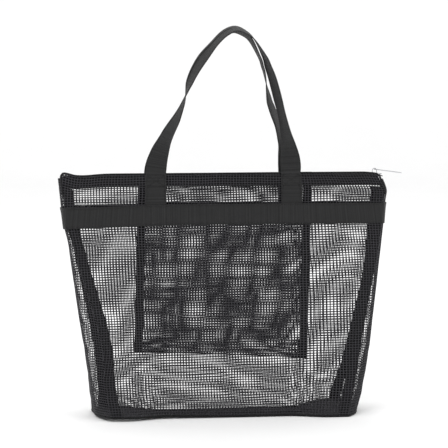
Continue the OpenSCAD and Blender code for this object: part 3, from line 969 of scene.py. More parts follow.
class TOTE_OT_gussets(bpy.types.Operator):
    """Weaves the end gussets that bow out between the side seams"""

    bl_idname = "tote.gussets"
    bl_label = "Gussets"

    def execute(self, context):
        shape = context.scene.tote_shape
        across, upward = shape.yarn_pitch_across / MM, shape.yarn_pitch_up / MM
        top = GUSSET_TOP
        for side in ("left", "right"):
            reach = max(abs(gusset_reach(side, 0.0)[0]), gusset_reach(side, 0.0)[1])
            piece = yarn_lattice(f"{side}_gusset_sheet", gusset(side), lines(-reach, reach, across),
                                 lines(SHEET_FOOT, top, upward), lambda v, s=side: gusset_reach(s, v),
                                 mesh_finish(), seed=3)
            sheet_piece(piece, f"{side}_gusset", "bag")
        return {"FINISHED"}


# The tuck across the base, by share of the cloth from front to rear:
# how far it has reached, and how high it lies
TUCK_SHARE = (0, 0.33, 0.36, 0.39, 0.61, 0.64, 0.67, 0.84, 0.93, 1)
TUCK_REACH = (0, 0.80, 0.84, 0.80, 0.20, 0.16, 0.20, 0.61, 0.83, 1)
TUCK_RISE = (0, 0.3, 0.8, 1.3, 2.7, 3.3, 3.9, 4.4, 3.4, 0)


def base_place(x, y, height=0.0):
    """The base lies flat at its ends, and is tucked in three layers where the front and rear draw together."""
    x, y, height = np.broadcast_arrays(np.asarray(x, float), y, height)
    across = np.clip(y / BASE_HALF_DEPTH, -1, 1)
    drawn = gather(x)
    front, rear = -BASE_HALF_DEPTH + FRONT_DRAW * drawn, BASE_HALF_DEPTH - REAR_DRAW * drawn
    share = (across + 1) / 2
    tucked = np.interp(share, TUCK_SHARE, TUCK_REACH)
    level = front + (rear - front) * (share * (1 - drawn) + tucked * drawn)
    pleat = drawn * np.interp(share, TUCK_SHARE, TUCK_RISE)
    edge = settle(np.stack([x, np.sign(across) * BASE_HALF_DEPTH + 0 * x, 0 * x], -1))
    flat = settle(np.stack([x, y, 0 * x], -1))
    near_edge = np.abs(across) ** 2
    lift = edge[..., 2] * near_edge + flat[..., 2] * (1 - near_edge)
    rumple = 0.5 * np.abs(np.sin(x / 27 + 1) * np.sin(y / 21))
    return np.stack([flat[..., 0], level, 0.9 + rumple + pleat + lift + height], -1)


def base_limits(y):
    s = np.clip(np.asarray(y, float) / BASE_HALF_DEPTH, -1, 1)
    half = BASE_HALF + 0.3 + gusset_bulge(0.0) * (1 - s * s)
    return -half, half


class TOTE_OT_base(bpy.types.Operator):
    """Weaves the base sheet"""

    bl_idname = "tote.base"
    bl_label = "Base Sheet"

    def execute(self, context):
        shape = context.scene.tote_shape
        across, upward = shape.yarn_pitch_across / MM, shape.yarn_pitch_up / MM
        reach = base_limits(0.0)[1]
        piece = yarn_lattice("base_sheet", base_place, lines(-reach, reach, across),
                             lines(-BASE_HALF_DEPTH, BASE_HALF_DEPTH, upward), base_limits, mesh_finish(),
                             GRAIN_SKEW["base"], seed=4)
        sheet_piece(piece, "bottom_panel", "bag")
        return {"FINISHED"}


# ---------------------------------------------------------------- seam, hem and base tapes


class TOTE_OT_tapes(bpy.types.Operator):
    """Lays the hem, seam and base tapes with their stitching"""

    bl_idname = "tote.tapes"
    bl_label = "Hem and Seam Tapes"

    def execute(self, context):
        pitch = context.scene.tote_shape.stitch_pitch / MM
        tape = tape_finish()
        thread = thread_finish()
        for side in ("front", "rear"):
            place = panel(side)
            middle = SLANT - HEM / 2 - 0.9

            def hem_at(s, a, h, place=place, middle=middle):
                return place(s, middle + a, -FOLD_GAP / 2 + h)

            span = TOP_HALF - 3
            hem = strap(f"{side}_hem", hem_at, np.linspace(-span, span, 120), HEM - 2.6, 1.2, tape, across=6,
                        narrow=1 - 0.12 * smooth((np.abs(np.linspace(-span, span, 120)) - span + 8) / 8))
            finish_piece(hem, "bag", "binding", f"{side}_hem_tape")
            finish_piece(hem_edge(f"{side}_hem_edge", place, tape), "bag", "binding")
            for level, row in ((SLANT - HEM + 1.6, "lower"), (SLANT - 3.2, "upper")):
                reach = half_width(level * math.cos(LEAN)) - 4
                starts, ends = seam_row(-reach, reach, level, pitch)
                finish_piece(stitches(f"{side}_hem_stitches_{row}", place, starts, ends, thread, 0.42, 0.45),
                             "bag", "binding")
            for hand, sign in (("left", -1), ("right", 1)):
                def seam_at(s, a, h, place=place, sign=sign):
                    return place(sign * (half_width(s * math.cos(LEAN)) - 7.8) + a, s, -1.35 + h)

                strip = strap(f"{side}_{hand}_seam_tape", seam_at, np.linspace(2.5, SLANT - HEM - 1, 90), 15.2, 1.0,
                              tape, across=6)
                finish_piece(strip, "bag", "binding", f"{side}_{hand}_binding")

                def seam_stitch(s, a, h, place=place, sign=sign):
                    return place(sign * (half_width(s * math.cos(LEAN)) - a), s, h)

                rows = [seam_row(6, SLANT - HEM - 3, inset, pitch) for inset in (2.2, 13.0)]
                finish_piece(stitches(f"{side}_{hand}_seam_stitches", seam_stitch, *together(rows),
                                      thread, 0.34, 0.35), "bag", "binding")
        for hand in ("left", "right"):
            place = gusset(hand)
            low, high = gusset_reach(hand, 341.0)

            def top_at(s, a, h, place=place):
                return place(s, 341.5 + a, -1.2 + h)

            strip = strap(f"{hand}_hem", top_at, np.linspace(low + 2, high - 2, 20), 19.0, 1.1, tape, across=6)
            finish_piece(strip, "bag", "binding", f"{hand}_hem_tape")
            sign = -1 if hand == "left" else 1

            def end_at(s, a, h, sign=sign):
                end = base_limits(s)[1] - 7.0
                return base_place(sign * (end + a), s, 1.2 + h * sign)

            strip = strap(f"base_{hand}_tape", end_at, np.linspace(-54, 54, 40), 12.0, 1.0, tape, across=5)
            finish_piece(strip, "bag", "binding", f"base_{hand}_binding")
        for side, sign in (("front", -1), ("rear", 1)):
            def long_at(s, a, h, sign=sign):
                return base_place(s, sign * (BASE_HALF_DEPTH - 7.2 + a), 1.2 - h * sign)

            strip = strap(f"base_{side}_tape", long_at, np.linspace(-162, 162, 80), 12.0, 1.0, tape, across=5)
            finish_piece(strip, "bag", "binding", f"base_{side}_binding")
        bead = base_bead("base_seam", tape)
        finish_piece(bead, "bag", "binding")
        return {"FINISHED"}


def hem_edge(name, place, material):
    """The narrow tape rolled over the hem's top edge and its rounded corners."""
    top = SLANT - 0.2
    side_x = lambda up: half_width(up * math.cos(LEAN)) - corner_round(up)
    rise = np.linspace(SLANT - 34, top - 0.1, 40)
    over = np.linspace(-side_x(top - 0.1), side_x(top - 0.1), 150)[1:-1]
    x = np.concatenate([-side_x(rise), over, side_x(rise[::-1])])
    up = np.concatenate([rise, np.full(len(over), top), rise[::-1]])
    path = place(x, up, -FOLD_GAP / 2)
    steps = run_along(path)
    even = np.linspace(0, steps[-1], 240)
    path = np.stack([np.interp(even, steps, path[:, k]) for k in range(3)], -1)
    fold = place(np.interp(even, steps, x), np.interp(even, steps, up), -FOLD_GAP / 2 + 1.0)
    normal = fold - path
    outward = unit(np.cross(normal, unit(np.gradient(path, axis=0))))
    upward = (outward * np.array([0, 0, 1.0])).sum(1)
    outward *= np.sign(upward + 0.3 * np.sign(path[:, 0]) * outward[:, 0])[:, None]
    sides = 12
    turn = np.arange(sides) * 2 * math.pi / sides
    ring = (path[:, None] + outward[:, None] * (0.3 + 1.2 * np.sin(turn)[None, :, None])
            + normal[:, None] * (2.5 * np.cos(turn)[None, :, None]))
    faces = tube_faces(len(path), sides)
    last = (len(path) - 1) * sides
    ends = [[start + k for k in quad] for start in (0, last)
            for quad in ([0, 1, 2, 3], [0, 3, 4, 5], [0, 5, 6, 7], [0, 7, 8, 9], [0, 9, 10, 11])]
    weave = np.stack(np.broadcast_arrays(turn[None] * 2.0, even[:, None], 0), -1)
    return make_piece(name, ring, [faces, np.array(ends)], material, weave=weave)


def base_outline(count=260):
    """Points round the edge of the base, anticlockwise from above."""
    bow = gusset_bulge(0.0)
    s = np.linspace(-1, 1, 24, endpoint=False)
    right = np.stack([BASE_HALF + bow * (1 - s * s), s * BASE_HALF_DEPTH], -1)
    rear_x = np.linspace(BASE_HALF, -BASE_HALF, 60, endpoint=False)
    rear = np.stack([rear_x, np.full(60, BASE_HALF_DEPTH)], -1)
    outline = np.concatenate([right, rear, -right, -rear])
    closed = np.concatenate([outline, outline[:1]])
    run = run_along(closed)
    even = np.linspace(0, run[-1], count, endpoint=False)
    return np.stack([np.interp(even, run, closed[:, 0]), np.interp(even, run, closed[:, 1])], -1), even


def base_bead(name, material):
    """The rolled seam round the foot of the bag, a flat tape folded over the raw edges."""
    outline, run = base_outline()
    ahead, behind = np.roll(outline, -1, axis=0), np.roll(outline, 1, axis=0)
    tangent = unit(ahead - behind)
    outward = np.stack([tangent[:, 1], -tangent[:, 0]], -1)
    sides = 10
    turn = np.arange(sides) * 2 * math.pi / sides
    flat = np.concatenate([outline, np.full((len(outline), 1), 1.5)], 1)
    out3 = np.concatenate([outward, np.zeros((len(outline), 1))], 1)
    ripple = 1 + 0.06 * np.sin(run / 3.1)
    ring = (flat[:, None] + out3[:, None] * (0.2 + 1.15 * np.cos(turn)[None, :, None] * ripple[:, None, None])
            + np.array([0, 0, 1.0]) * (1.5 * np.sin(turn)[None, :, None]))
    points = settle(ring)
    faces = tube_faces(len(outline), sides, closed=True)[:, [0, 3, 2, 1]]
    weave = np.stack(np.broadcast_arrays(turn[None] * 1.3, run[:, None], 0), -1)
    return make_piece(name, points, [faces], material, weave=weave)


# ---------------------------------------------------------------- webbing band and handles

BAND_CLEAR = 0.9 + 0.75
BAND_OVER_LEG = 1.75
LEG_OFF = 1.5


def leg_centre(side):
    low, high = box_mm(f"front_{side}_leg")
    return (low[0] + high[0]) / 2


class TOTE_OT_band(bpy.types.Operator):
    """Wraps the webbing band round the bag over the handles' ends"""

    bl_idname = "tote.band"
    bl_label = "Webbing Band"

    def execute(self, context):
        pitch = context.scene.tote_shape.stitch_pitch / MM
        web = webbing_finish()
        middle_z = (BAND_LOW[2] + BAND_HIGH[2]) / 2 - 0.5
        middle = middle_z / math.cos(LEAN)
        height = 30.5
        edge = float(half_width(middle_z))
        for side in ("front", "rear"):
            place = panel(side)
            ends = {hand: gusset(hand) for hand in ("left", "right")}
            reaches = {hand: gusset_reach(hand, middle_z) for hand in ("left", "right")}
            facing = -1 if side == "front" else 1

            def at(s, a, h, place=place, ends=ends, reaches=reaches, facing=facing):
                """Along the panel between the seams, then round on to the gussets."""
                over_leg = sum(smooth((21 - np.abs(s - leg_centre(hand))) / 5) for hand in ("left", "right"))
                off = BAND_CLEAR + over_leg * BAND_OVER_LEG
                droop = -4.6 * smooth((-s - 60) / 170) - 1.0 * smooth((s - 100) / 130)
                flat = place(np.clip(s, -edge + 1.2, edge - 1.2), middle + a + droop, off + h)
                result = flat
                for hand, sign in (("left", -1), ("right", 1)):
                    past = sign * s - edge
                    low, high = reaches[hand]
                    if (hand == "right") == (facing == -1):
                        along = low + np.maximum(past, 1.2)
                    else:
                        along = high - np.maximum(past, 1.2)
                    wrapped = ends[hand](along, middle_z + a + droop, BAND_CLEAR + h)
                    share = smooth((past + 1.5) / 3.0)[..., None]
                    result = result * (1 - share) + wrapped * share
                return result

            quarter = abs(reaches["right"][0]) - 0.6
            stations = np.concatenate([
                np.linspace(-edge - quarter, -edge - 2, 14), np.linspace(-edge - 1.5, -edge + 1.5, 7),
                np.linspace(-edge + 2, edge - 2, 160), np.linspace(edge - 1.5, edge + 1.5, 7),
                np.linspace(edge + 2, edge + quarter, 14)])
            band = strap(f"{side}_webbing_band", at, stations, height, 1.4, web, across=12)
            finish_piece(band, "bag", "webbing", f"{side}_band")
            rows = []
            for across in (height / 2 - 2.2, -height / 2 + 2.2):
                rows.append(seam_row(-edge + 2, edge - 2, across, pitch))
            place_thread = lambda s, a, h, at=at: at(s, a, 0.72 + h)
            finish_piece(stitches(f"{side}_band_stitches", place_thread, *together(rows), thread_finish(), 0.4, 0.0),
                         "bag", "webbing")
        return {"FINISHED"}


ROUTE = np.array([
    (-101, 361.5), (-98, 378), (-92.5, 396), (-83, 417), (-70, 440), (-60, 463), (-52, 489), (-43, 509), (-29, 531),
    (-9, 555), (4, 566), (18, 571), (32, 566), (45, 555), (60, 529), (65, 515), (72, 495), (81, 461), (87, 437),
    (92, 414), (96, 396), (98, 378), (99, 361.5)], float)
FRONT_TURN = [(0, 0), (16, 14.6), (31, 27), (47, 42.5), (63, 50), (79, 57.5), (96, 68.5), (109, 75.5), (119, 83),
              (129, 93), (139, 103.6), (158, 110), (182, 113.7), (208, 106), (240, 106), (292, 92), (330, 78),
              (370, 74), (400, 76), (425, 68), (448, 50), (466, 22), (482, 0)]
REAR_TURN = [(0, 0), (16, 26), (31, 41), (47, 56), (63, 64), (79, 71.5), (96, 82), (109, 89), (119, 97), (129, 106),
             (139, 114), (158, 119), (182, 119), (208, 110), (240, 106), (292, 92), (330, 88), (350, 82), (372, 69),
             (395, 63), (418, 64), (444, 46), (466, 20), (482, 0)]
# How far the rear loop lies inside the front one, by distance along the strap
NEST = [(0, 0), (40, 2), (80, 2.7), (130, 2.7), (180, 2.5), (238, 2.2), (275, 2.8), (300, 4.4), (330, 5.6), (355, 8.8),
        (378, 10), (405, 7), (440, 3), (482, 0)]


def through(points, t):
    """A smooth curve through a list of points, at a run of whole and part steps."""
    padded = np.pad(points, ((2, 2), (0, 0)), mode="reflect", reflect_type="odd")
    k = np.clip(np.floor(t).astype(int), 0, len(points) - 2)
    w = curve_weights(t - k)
    return sum(w[a][:, None] * padded[k + 1 + a] for a in range(4))


class StrapPath:
    """A handle's strap: up the front of one leg, over the loop and down the other."""

    def __init__(self, side):
        self.side = side
        self.facing = -1 if side == "front" else 1
        self.place = panel(side)
        self.leg = SLANT - BAND_LOW[2] / math.cos(LEAN) - 3
        t = np.linspace(0, len(ROUTE) - 1, 400)
        curve = through(ROUTE, t)
        run = run_along(curve)
        self.loop = run[-1]
        self.run, self.curve = run, curve
        self.total = self.loop + 2 * self.leg

    def loop_at(self, s, a, h):
        share = np.clip(s, 0, self.loop)
        x, z = np.interp(share, self.run, self.curve[:, 0]), np.interp(share, self.run, self.curve[:, 1])
        low, high = (np.clip(share + step, 0, self.loop) for step in (-2.0, 2.0))
        gx = np.interp(high, self.run, self.curve[:, 0]) - np.interp(low, self.run, self.curve[:, 0])
        gz = np.interp(high, self.run, self.curve[:, 1]) - np.interp(low, self.run, self.curve[:, 1])
        norm = np.hypot(gx, gz)
        gx, gz = gx / norm, gz / norm
        stops = np.array(FRONT_TURN if self.side == "front" else REAR_TURN, float)
        step = np.interp(share / self.loop * stops[-1, 0], stops[:, 0], np.arange(len(stops)))
        angle = through(stops, step.reshape(-1))
        turn = np.radians(angle[:, 1].reshape(np.shape(share)))
        rise = (z - HANDLE_LOW[2]) / (HANDLE_HIGH[2] - HANDLE_LOW[2])
        z = z - 1.0 * smooth((z - 500) / 60)
        nest = np.array(NEST, float)
        inset = np.interp(share / self.loop * nest[-1, 0], nest[:, 0], nest[:, 1]) * (self.side == "rear")
        foot_y, top_y = TOP_HALF_DEPTH + 1.5, 9.0
        y = self.facing * (foot_y + (top_y - foot_y) * rise)
        x, z = x + gz * inset, z - gx * inset
        zero = 0 * x
        centre = np.stack([x, y, z], -1)
        across = np.stack([gz, zero, -gx], -1)
        depth = np.stack([zero, zero - self.facing, zero], -1)
        c, s_ = np.cos(turn)[..., None], np.sin(turn)[..., None]
        wide = across * c + depth * s_
        thick = across * s_ - depth * c
        return centre + wide * a[..., None] + thick * h[..., None]

    def at(self, s, a, h):
        """s runs from the low end of the left leg to the low end of the right one."""
        s, a, h = np.broadcast_arrays(np.asarray(s, float), a, h)
        result = self.loop_at(s - self.leg, a, h)
        for hand, sign, local in (("left", -1, s), ("right", 1, self.total - s)):
            up = SLANT - self.leg + local
            flat = self.place(leg_centre(hand) - sign * a, np.minimum(up, SLANT + 1.5), LEG_OFF + h)
            share = smooth((self.leg - local + 4) / 8)[..., None]
            result = result * (1 - share) + flat * share
        return result


class TOTE_OT_handles(bpy.types.Operator):
    """Sews on the two webbing handles with boxed and crossed stitching"""

    bl_idname = "tote.handles"
    bl_label = "Webbing Handles"

    def execute(self, context):
        shape = context.scene.tote_shape
        width, thickness = shape.webbing_width / MM, shape.webbing_thickness / MM
        pitch = shape.stitch_pitch / MM
        for side in ("front", "rear"):
            path = StrapPath(side)
            stations = np.linspace(0, path.total, 300)
            piece = strap(f"{side}_handle_strap", path.at, stations, width, thickness, webbing_finish(),
                          across=10)
            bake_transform(piece)
            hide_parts(f"{side}_handle", f"{side}_left_leg", f"{side}_right_leg")
            w = width / 2 - 2.4
            rows = []
            for end in (0.0, path.total):
                sign = 1 if end == 0 else -1
                near, far = end + sign * (path.leg - 19), end + sign * (path.leg - 2.5)
                rows += [line_row((near, -w), (near, w), pitch), line_row((far, -w), (far, w), pitch),
                         line_row((near, -w), (far, -w), pitch), line_row((near, w), (far, w), pitch),
                         line_row((near, -w), (far, w), pitch), line_row((near, w), (far, -w), pitch)]
                edge = end + sign * (BAND_HIGH[2] - BAND_LOW[2] + 2)
                rows += [line_row((edge, -w), (near, -w), pitch), line_row((edge, w), (near, w), pitch)]
            made = stitches(f"{side}_handle_stitches", lambda s, a, h, p=path: p.at(s, a, thickness / 2 + h),
                            *together(rows), thread_finish(), 0.4, 0.0)
            finish_piece(made, "bag", "webbing")
        return {"FINISHED"}


# ---------------------------------------------------------------- zip

PULL_DROOP = 8.0
COIL_PITCH = 1.5
ARCH_HALF_WIDTH = 1.05


def spring(name, y_side, phase, material):
    """One half of the zip's coil: a flattened helix of nylon, wound along the tape."""
    turns = int((ZIP_HIGH[0] - ZIP_LOW[0] - 4) / COIL_PITCH)
    steps = 10
    t = np.arange(turns * steps + 1) / steps
    x = ZIP_LOW[0] + 2 + (t + phase) * COIL_PITCH
    angle = 2 * math.pi * t
    y = y_side * (1.35 - 1.45 * np.cos(angle))
    z = ZIP_HIGH[2] + 1.15 + 0.75 * np.sin(angle)
    centre = np.stack([x, y, z], -1)
    tangent = unit(np.gradient(centre, axis=0))
    side = unit(np.cross(tangent, [1.0, 0, 0]))
    other = np.cross(tangent, side)
    sides = 6
    turn = np.arange(sides) * 2 * math.pi / sides
    ring = centre[:, None] + 0.33 * (side[:, None] * np.cos(turn)[None, :, None]
                                     + other[:, None] * np.sin(turn)[None, :, None])
    faces = tube_faces(len(t), sides)
    last = (len(t) - 1) * sides
    caps = np.array([[3, 2, 1, 0], [5, 4, 3, 0],
                     [last, last + 1, last + 2, last + 3], [last, last + 3, last + 4, last + 5]])
    return make_piece(name, ring, [faces, caps], material)


def plate(name, outline, low, high, material, bevel=0.25, segments=3):
    """A flat stamped part from its outline, with softened edges."""
    outline = np.asarray(outline, float)
    count = len(outline)
    points = np.concatenate([np.c_[outline, np.full(count, low)], np.c_[outline, np.full(count, high)]])
    k = np.arange(count)
    after = (k + 1) % count
    sides = np.stack([k, after, after + count, k + count], -1)
    caps = np.stack([k[::-1], k + count])
    piece = make_piece(name, points, [sides, caps], material)
    soften(piece, bevel, segments)
    return piece


def soften(piece, width, segments=3):
    """Rounds a hard part's edges for good."""
    edge = piece.modifiers.new("edges", "BEVEL")
    edge.width, edge.segments, edge.limit_method, edge.angle_limit = width * MM, segments, "ANGLE", math.radians(30)
    apply_modifiers(piece)


def apply_modifiers(piece):
    graph = bpy.context.evaluated_depsgraph_get()
    made = bpy.data.meshes.new_from_object(piece.evaluated_get(graph))
    old = piece.data
    piece.modifiers.clear()
    piece.data = made
    bpy.data.meshes.remove(old)
    piece.data.name = piece.name


def join(name, parts):
    """Makes one piece of several parts that share a material."""
    points, faces, offset = [], {}, 0
    for part in parts:
        data = part.data
        co = np.empty(len(data.vertices) * 3)
        data.vertices.foreach_get("co", co)
        points.append(co.reshape(-1, 3) / MM)
        for polygon in data.polygons:
            faces.setdefault(len(polygon.vertices), []).append([v + offset for v in polygon.vertices])
        offset += len(data.vertices)
    material = parts[0].data.materials[0]
    made = make_piece(name, np.concatenate(points), [np.array(f) for f in faces.values()], material)
    for part in parts:
        old = part.data
        bpy.data.objects.remove(part)
        bpy.data.meshes.remove(old)
    return made


def round_plate(cx, cy, length, width, radius, steps=6):
    corners = []
    for sx, sy, start in ((1, 1, 0), (-1, 1, 90), (-1, -1, 180), (1, -1, 270)):
        for k in range(steps + 1):
            a = math.radians(start + 90 * k / steps)
            corners.append((cx + sx * (length / 2 - radius) + radius * math.cos(a),
                            cy + sy * (width / 2 - radius) + radius * math.sin(a)))
    return corners


class TOTE_OT_zip(bpy.types.Operator):
    """Fits the zip tapes, the interlocked coil and the end stops"""

    bl_idname = "tote.zip"
    bl_label = "Zip"

    def execute(self, context):
        cloth = zip_tape_finish()
        middle_z = (ZIP_LOW[2] + ZIP_HIGH[2]) / 2
        for side, sign in (("front", -1), ("rear", 1)):
            def at(s, a, h, sign=sign):
                wave = 0.25 * np.sin(s / 23.0)
                level = middle_z + wave * smooth((a + 1) / 5) - sign * h
                return np.stack(np.broadcast_arrays(s, sign * (5.0 + a), level), -1)

            tape = strap(f"zip_{side}_cloth", at, np.linspace(ZIP_LOW[0], ZIP_HIGH[0], 150), 8.2, 0.7, cloth,
                         across=8)
            finish_piece(tape, "bag", "zip_cloth", f"zip_{side}_tape")
            coil = spring(f"zip_{side}_spring", sign, 0.0 if sign < 0 else 0.5, coil_finish())
            finish_piece(coil, "bag", "coil", f"zip_{side}_coil")

            def thread_at(s, a, h, sign=sign):
                return np.stack(np.broadcast_arrays(s, sign * a, ZIP_HIGH[2] + h), -1)

            starts, ends = seam_row(ZIP_LOW[0] + 4, ZIP_HIGH[0] - 4, 7.0, 3.0)
            finish_piece(stitches(f"zip_{side}_stitches", thread_at, starts, ends, thread_finish(), 0.3, 0.0),
                         "bag", "zip_cloth")
        metal = metal_finish()
        for name, sign in (("closed", 1), ("open", -1)):
            centre = sign * (STOP_LOW[0] + STOP_HIGH[0]) / 2
            outline = round_plate(centre, 0, STOP_HIGH[0] - STOP_LOW[0], 6.2, 0.9)
            stop = plate(f"zip_{name}_clip", outline, STOP_LOW[2] - 0.5, STOP_HIGH[2] - 0.1, metal, 0.35)
            finish_piece(stop, "bag", "zip_metal", f"zip_{name}_stop")
        return {"FINISHED"}


class TOTE_OT_slider(bpy.types.Operator):
    """Builds the slider, its bridge and the long pull"""

    bl_idname = "tote.slider"
    bl_label = "Slider and Pull"

    def execute(self, context):
        metal = metal_finish()
        centre = (SLIDER_LOW[0] + SLIDER_HIGH[0]) / 2
        top = BRIDGE_LOW[2]
        outline = [(-6, -2.1), (-5.2, -3.1), (-3.4, -4.1), (1.0, -4.3), (4.2, -4.1), (5.6, -3.5), (6, -2.4), (6, -0.9),
                   (5.0, -0.4), (5.0, 0.4), (6, 0.9), (6, 2.4), (5.6, 3.5), (4.2, 4.1), (1.0, 4.3), (-3.4, 4.1),
                   (-5.2, 3.1), (-6, 2.1)]
        outline = [(centre + x, y) for x, y in outline]
        upper = plate("upper", outline, top - 1.2, top, metal, 0.35)
        lower = plate("lower", outline, SLIDER_LOW[2], SLIDER_LOW[2] + 1.2, metal, 0.3)
        web = plate("web", round_plate(centre + 4.0, 0, 3.4, 0.8, 0.3), SLIDER_LOW[2] + 0.6, top - 0.6, metal, 0.1, 1)
        rails = [plate(f"rail{k}", round_plate(centre, k * 3.95, 7.4, 0.7, 0.3), top - 3.0, top - 0.6, metal, 0.15, 2)
                 for k in (-1, 1)]
        body = join("slider_shell", [upper, lower, web, *rails])
        finish_piece(body, "slider", "zip_metal", "slider_body")

        rise = BRIDGE_HIGH[2] - top - 0.45
        a = np.linspace(0, math.pi, 25)
        path = np.stack([centre - 3.3 * np.cos(a) * (1 + 0.10 * np.sin(a)), 0 * a,
                         top - 0.1 + rise * np.sin(a) ** 0.55], -1)
        section_points = [(-1, -0.4), (-0.85, 0.4), (0.85, 0.4), (1, -0.4)]
        normal = np.cross(unit(np.gradient(path, axis=0)), [0, 1.0, 0])
        ring = np.stack([path + np.array([0, 1.0, 0]) * (p * ARCH_HALF_WIDTH) - normal * q
                         for p, q in section_points], 1)
        last = (len(path) - 1) * 4
        caps = np.array([[3, 2, 1, 0], [last, last + 1, last + 2, last + 3]])
        bridge = make_piece("slider_arch", ring, [tube_faces(len(path), 4), caps], metal)
        soften(bridge, 0.2, 2)
        finish_piece(bridge, "slider", "zip_metal", "slider_bridge")

        self.make_pull(metal, centre)
        return {"FINISHED"}

    def make_pull(self, metal, centre):
        """Two arms past the bridge that join in a slim flat tab with a rounded end."""
        pivot_z = (BRIDGE_HIGH[2] - 1.0) - 1.0
        droop = math.radians(PULL_DROOP)
        length = (PULL_HIGH[0] - centre) / math.cos(droop) - 0.6
        half = [(0.0, 2.2), (1.0, 2.35), (6.5, 2.35), (9.0, 1.9), (0.4 * length, 1.75), (0.7 * length, 2.0),
                (length - 3.6, 2.35), (length - 1.0, 1.9), (length - 0.2, 1.0), (length, 0.0)]
        reach = np.array([p[0] for p in half])
        along = np.concatenate([np.linspace(-0.7, 7.0, 12), np.linspace(7.6, length, 44)])
        outer = np.interp(along, reach, [p[1] for p in half])
        inner = np.where((along > 0.75) & (along < 6.6), 1.4, 0.0)
        thick = 0.68

        def spot(s, y, h):
            return np.stack([centre + s * math.cos(droop) + h * math.sin(droop), y,
                             pivot_z - s * math.sin(droop) + h * math.cos(droop)], -1)

        parts = []
        for sign in (-1, 1):
            across = np.linspace(0, 1, 5)
            s = along[:, None] + 0 * across[None]
            y = sign * (inner[:, None] * (1 - across) + outer[:, None] * across)
            edge = 1 - 0.1 * across ** 4
            upper = spot(s, y, thick * edge)
            lower = spot(s, y, -thick * edge)
            n, m = s.shape
            grid = np.concatenate([upper.reshape(-1, 3), lower.reshape(-1, 3)])
            r, c = [q.reshape(-1) for q in np.meshgrid(np.arange(n - 1), np.arange(m - 1), indexing="ij")]
            base = r * m + c
            up = np.stack([base, base + m, base + m + 1, base + 1], -1)
            down = up[:, ::-1] + n * m
            r = np.arange(n - 1)
            walls = []
            for column, flip in ((0, False), (m - 1, True)):
                one = np.stack([r * m + column, r * m + column + n * m,
                                (r + 1) * m + column + n * m, (r + 1) * m + column], -1)
                walls.append(one[:, ::-1] if flip else one)
            c = np.arange(m - 1)
            for row, flip in ((0, True), (n - 1, False)):
                one = np.stack([row * m + c, row * m + c + n * m, row * m + c + 1 + n * m, row * m + c + 1], -1)
                walls.append(one[:, ::-1] if flip else one)
            faces = np.concatenate([up, down, *walls])
            if sign < 0:
                faces = faces[:, ::-1]
            part = make_piece(f"tab{sign}", grid, [faces], metal)
            parts.append(part)
        pull = join("zip_pull", parts)
        finish_piece(pull, "pull", "zip_metal", "pull")


# ---------------------------------------------------------------- pocket


def hang_pocket(points):
    """The pocket hangs a little askew and ripples under its own weight."""
    x, y, z = points[..., 0], points[..., 1], points[..., 2]
    drop = (POCKET_HIGH[2] - z) / (POCKET_HIGH[2] - POCKET_LOW[2])
    middle = (POCKET_LOW[0] + POCKET_HIGH[0]) / 2
    dx = -6.5 * drop
    dz = -0.055 * (x - middle) * drop
    ripple = 1.6 * np.sin((x - middle) / 31 + 0.8 * np.sin(z / 60)) * np.sin(math.pi * np.clip(drop, 0, 1) * 0.9)
    return points + np.stack([dx, ripple, dz], -1)


def pocket_fullness(u, v):
    return (1 - np.abs(u) ** 6) * np.sin(np.radians(90 * np.clip(v * 1.4, 0, 1))) ** 0.7


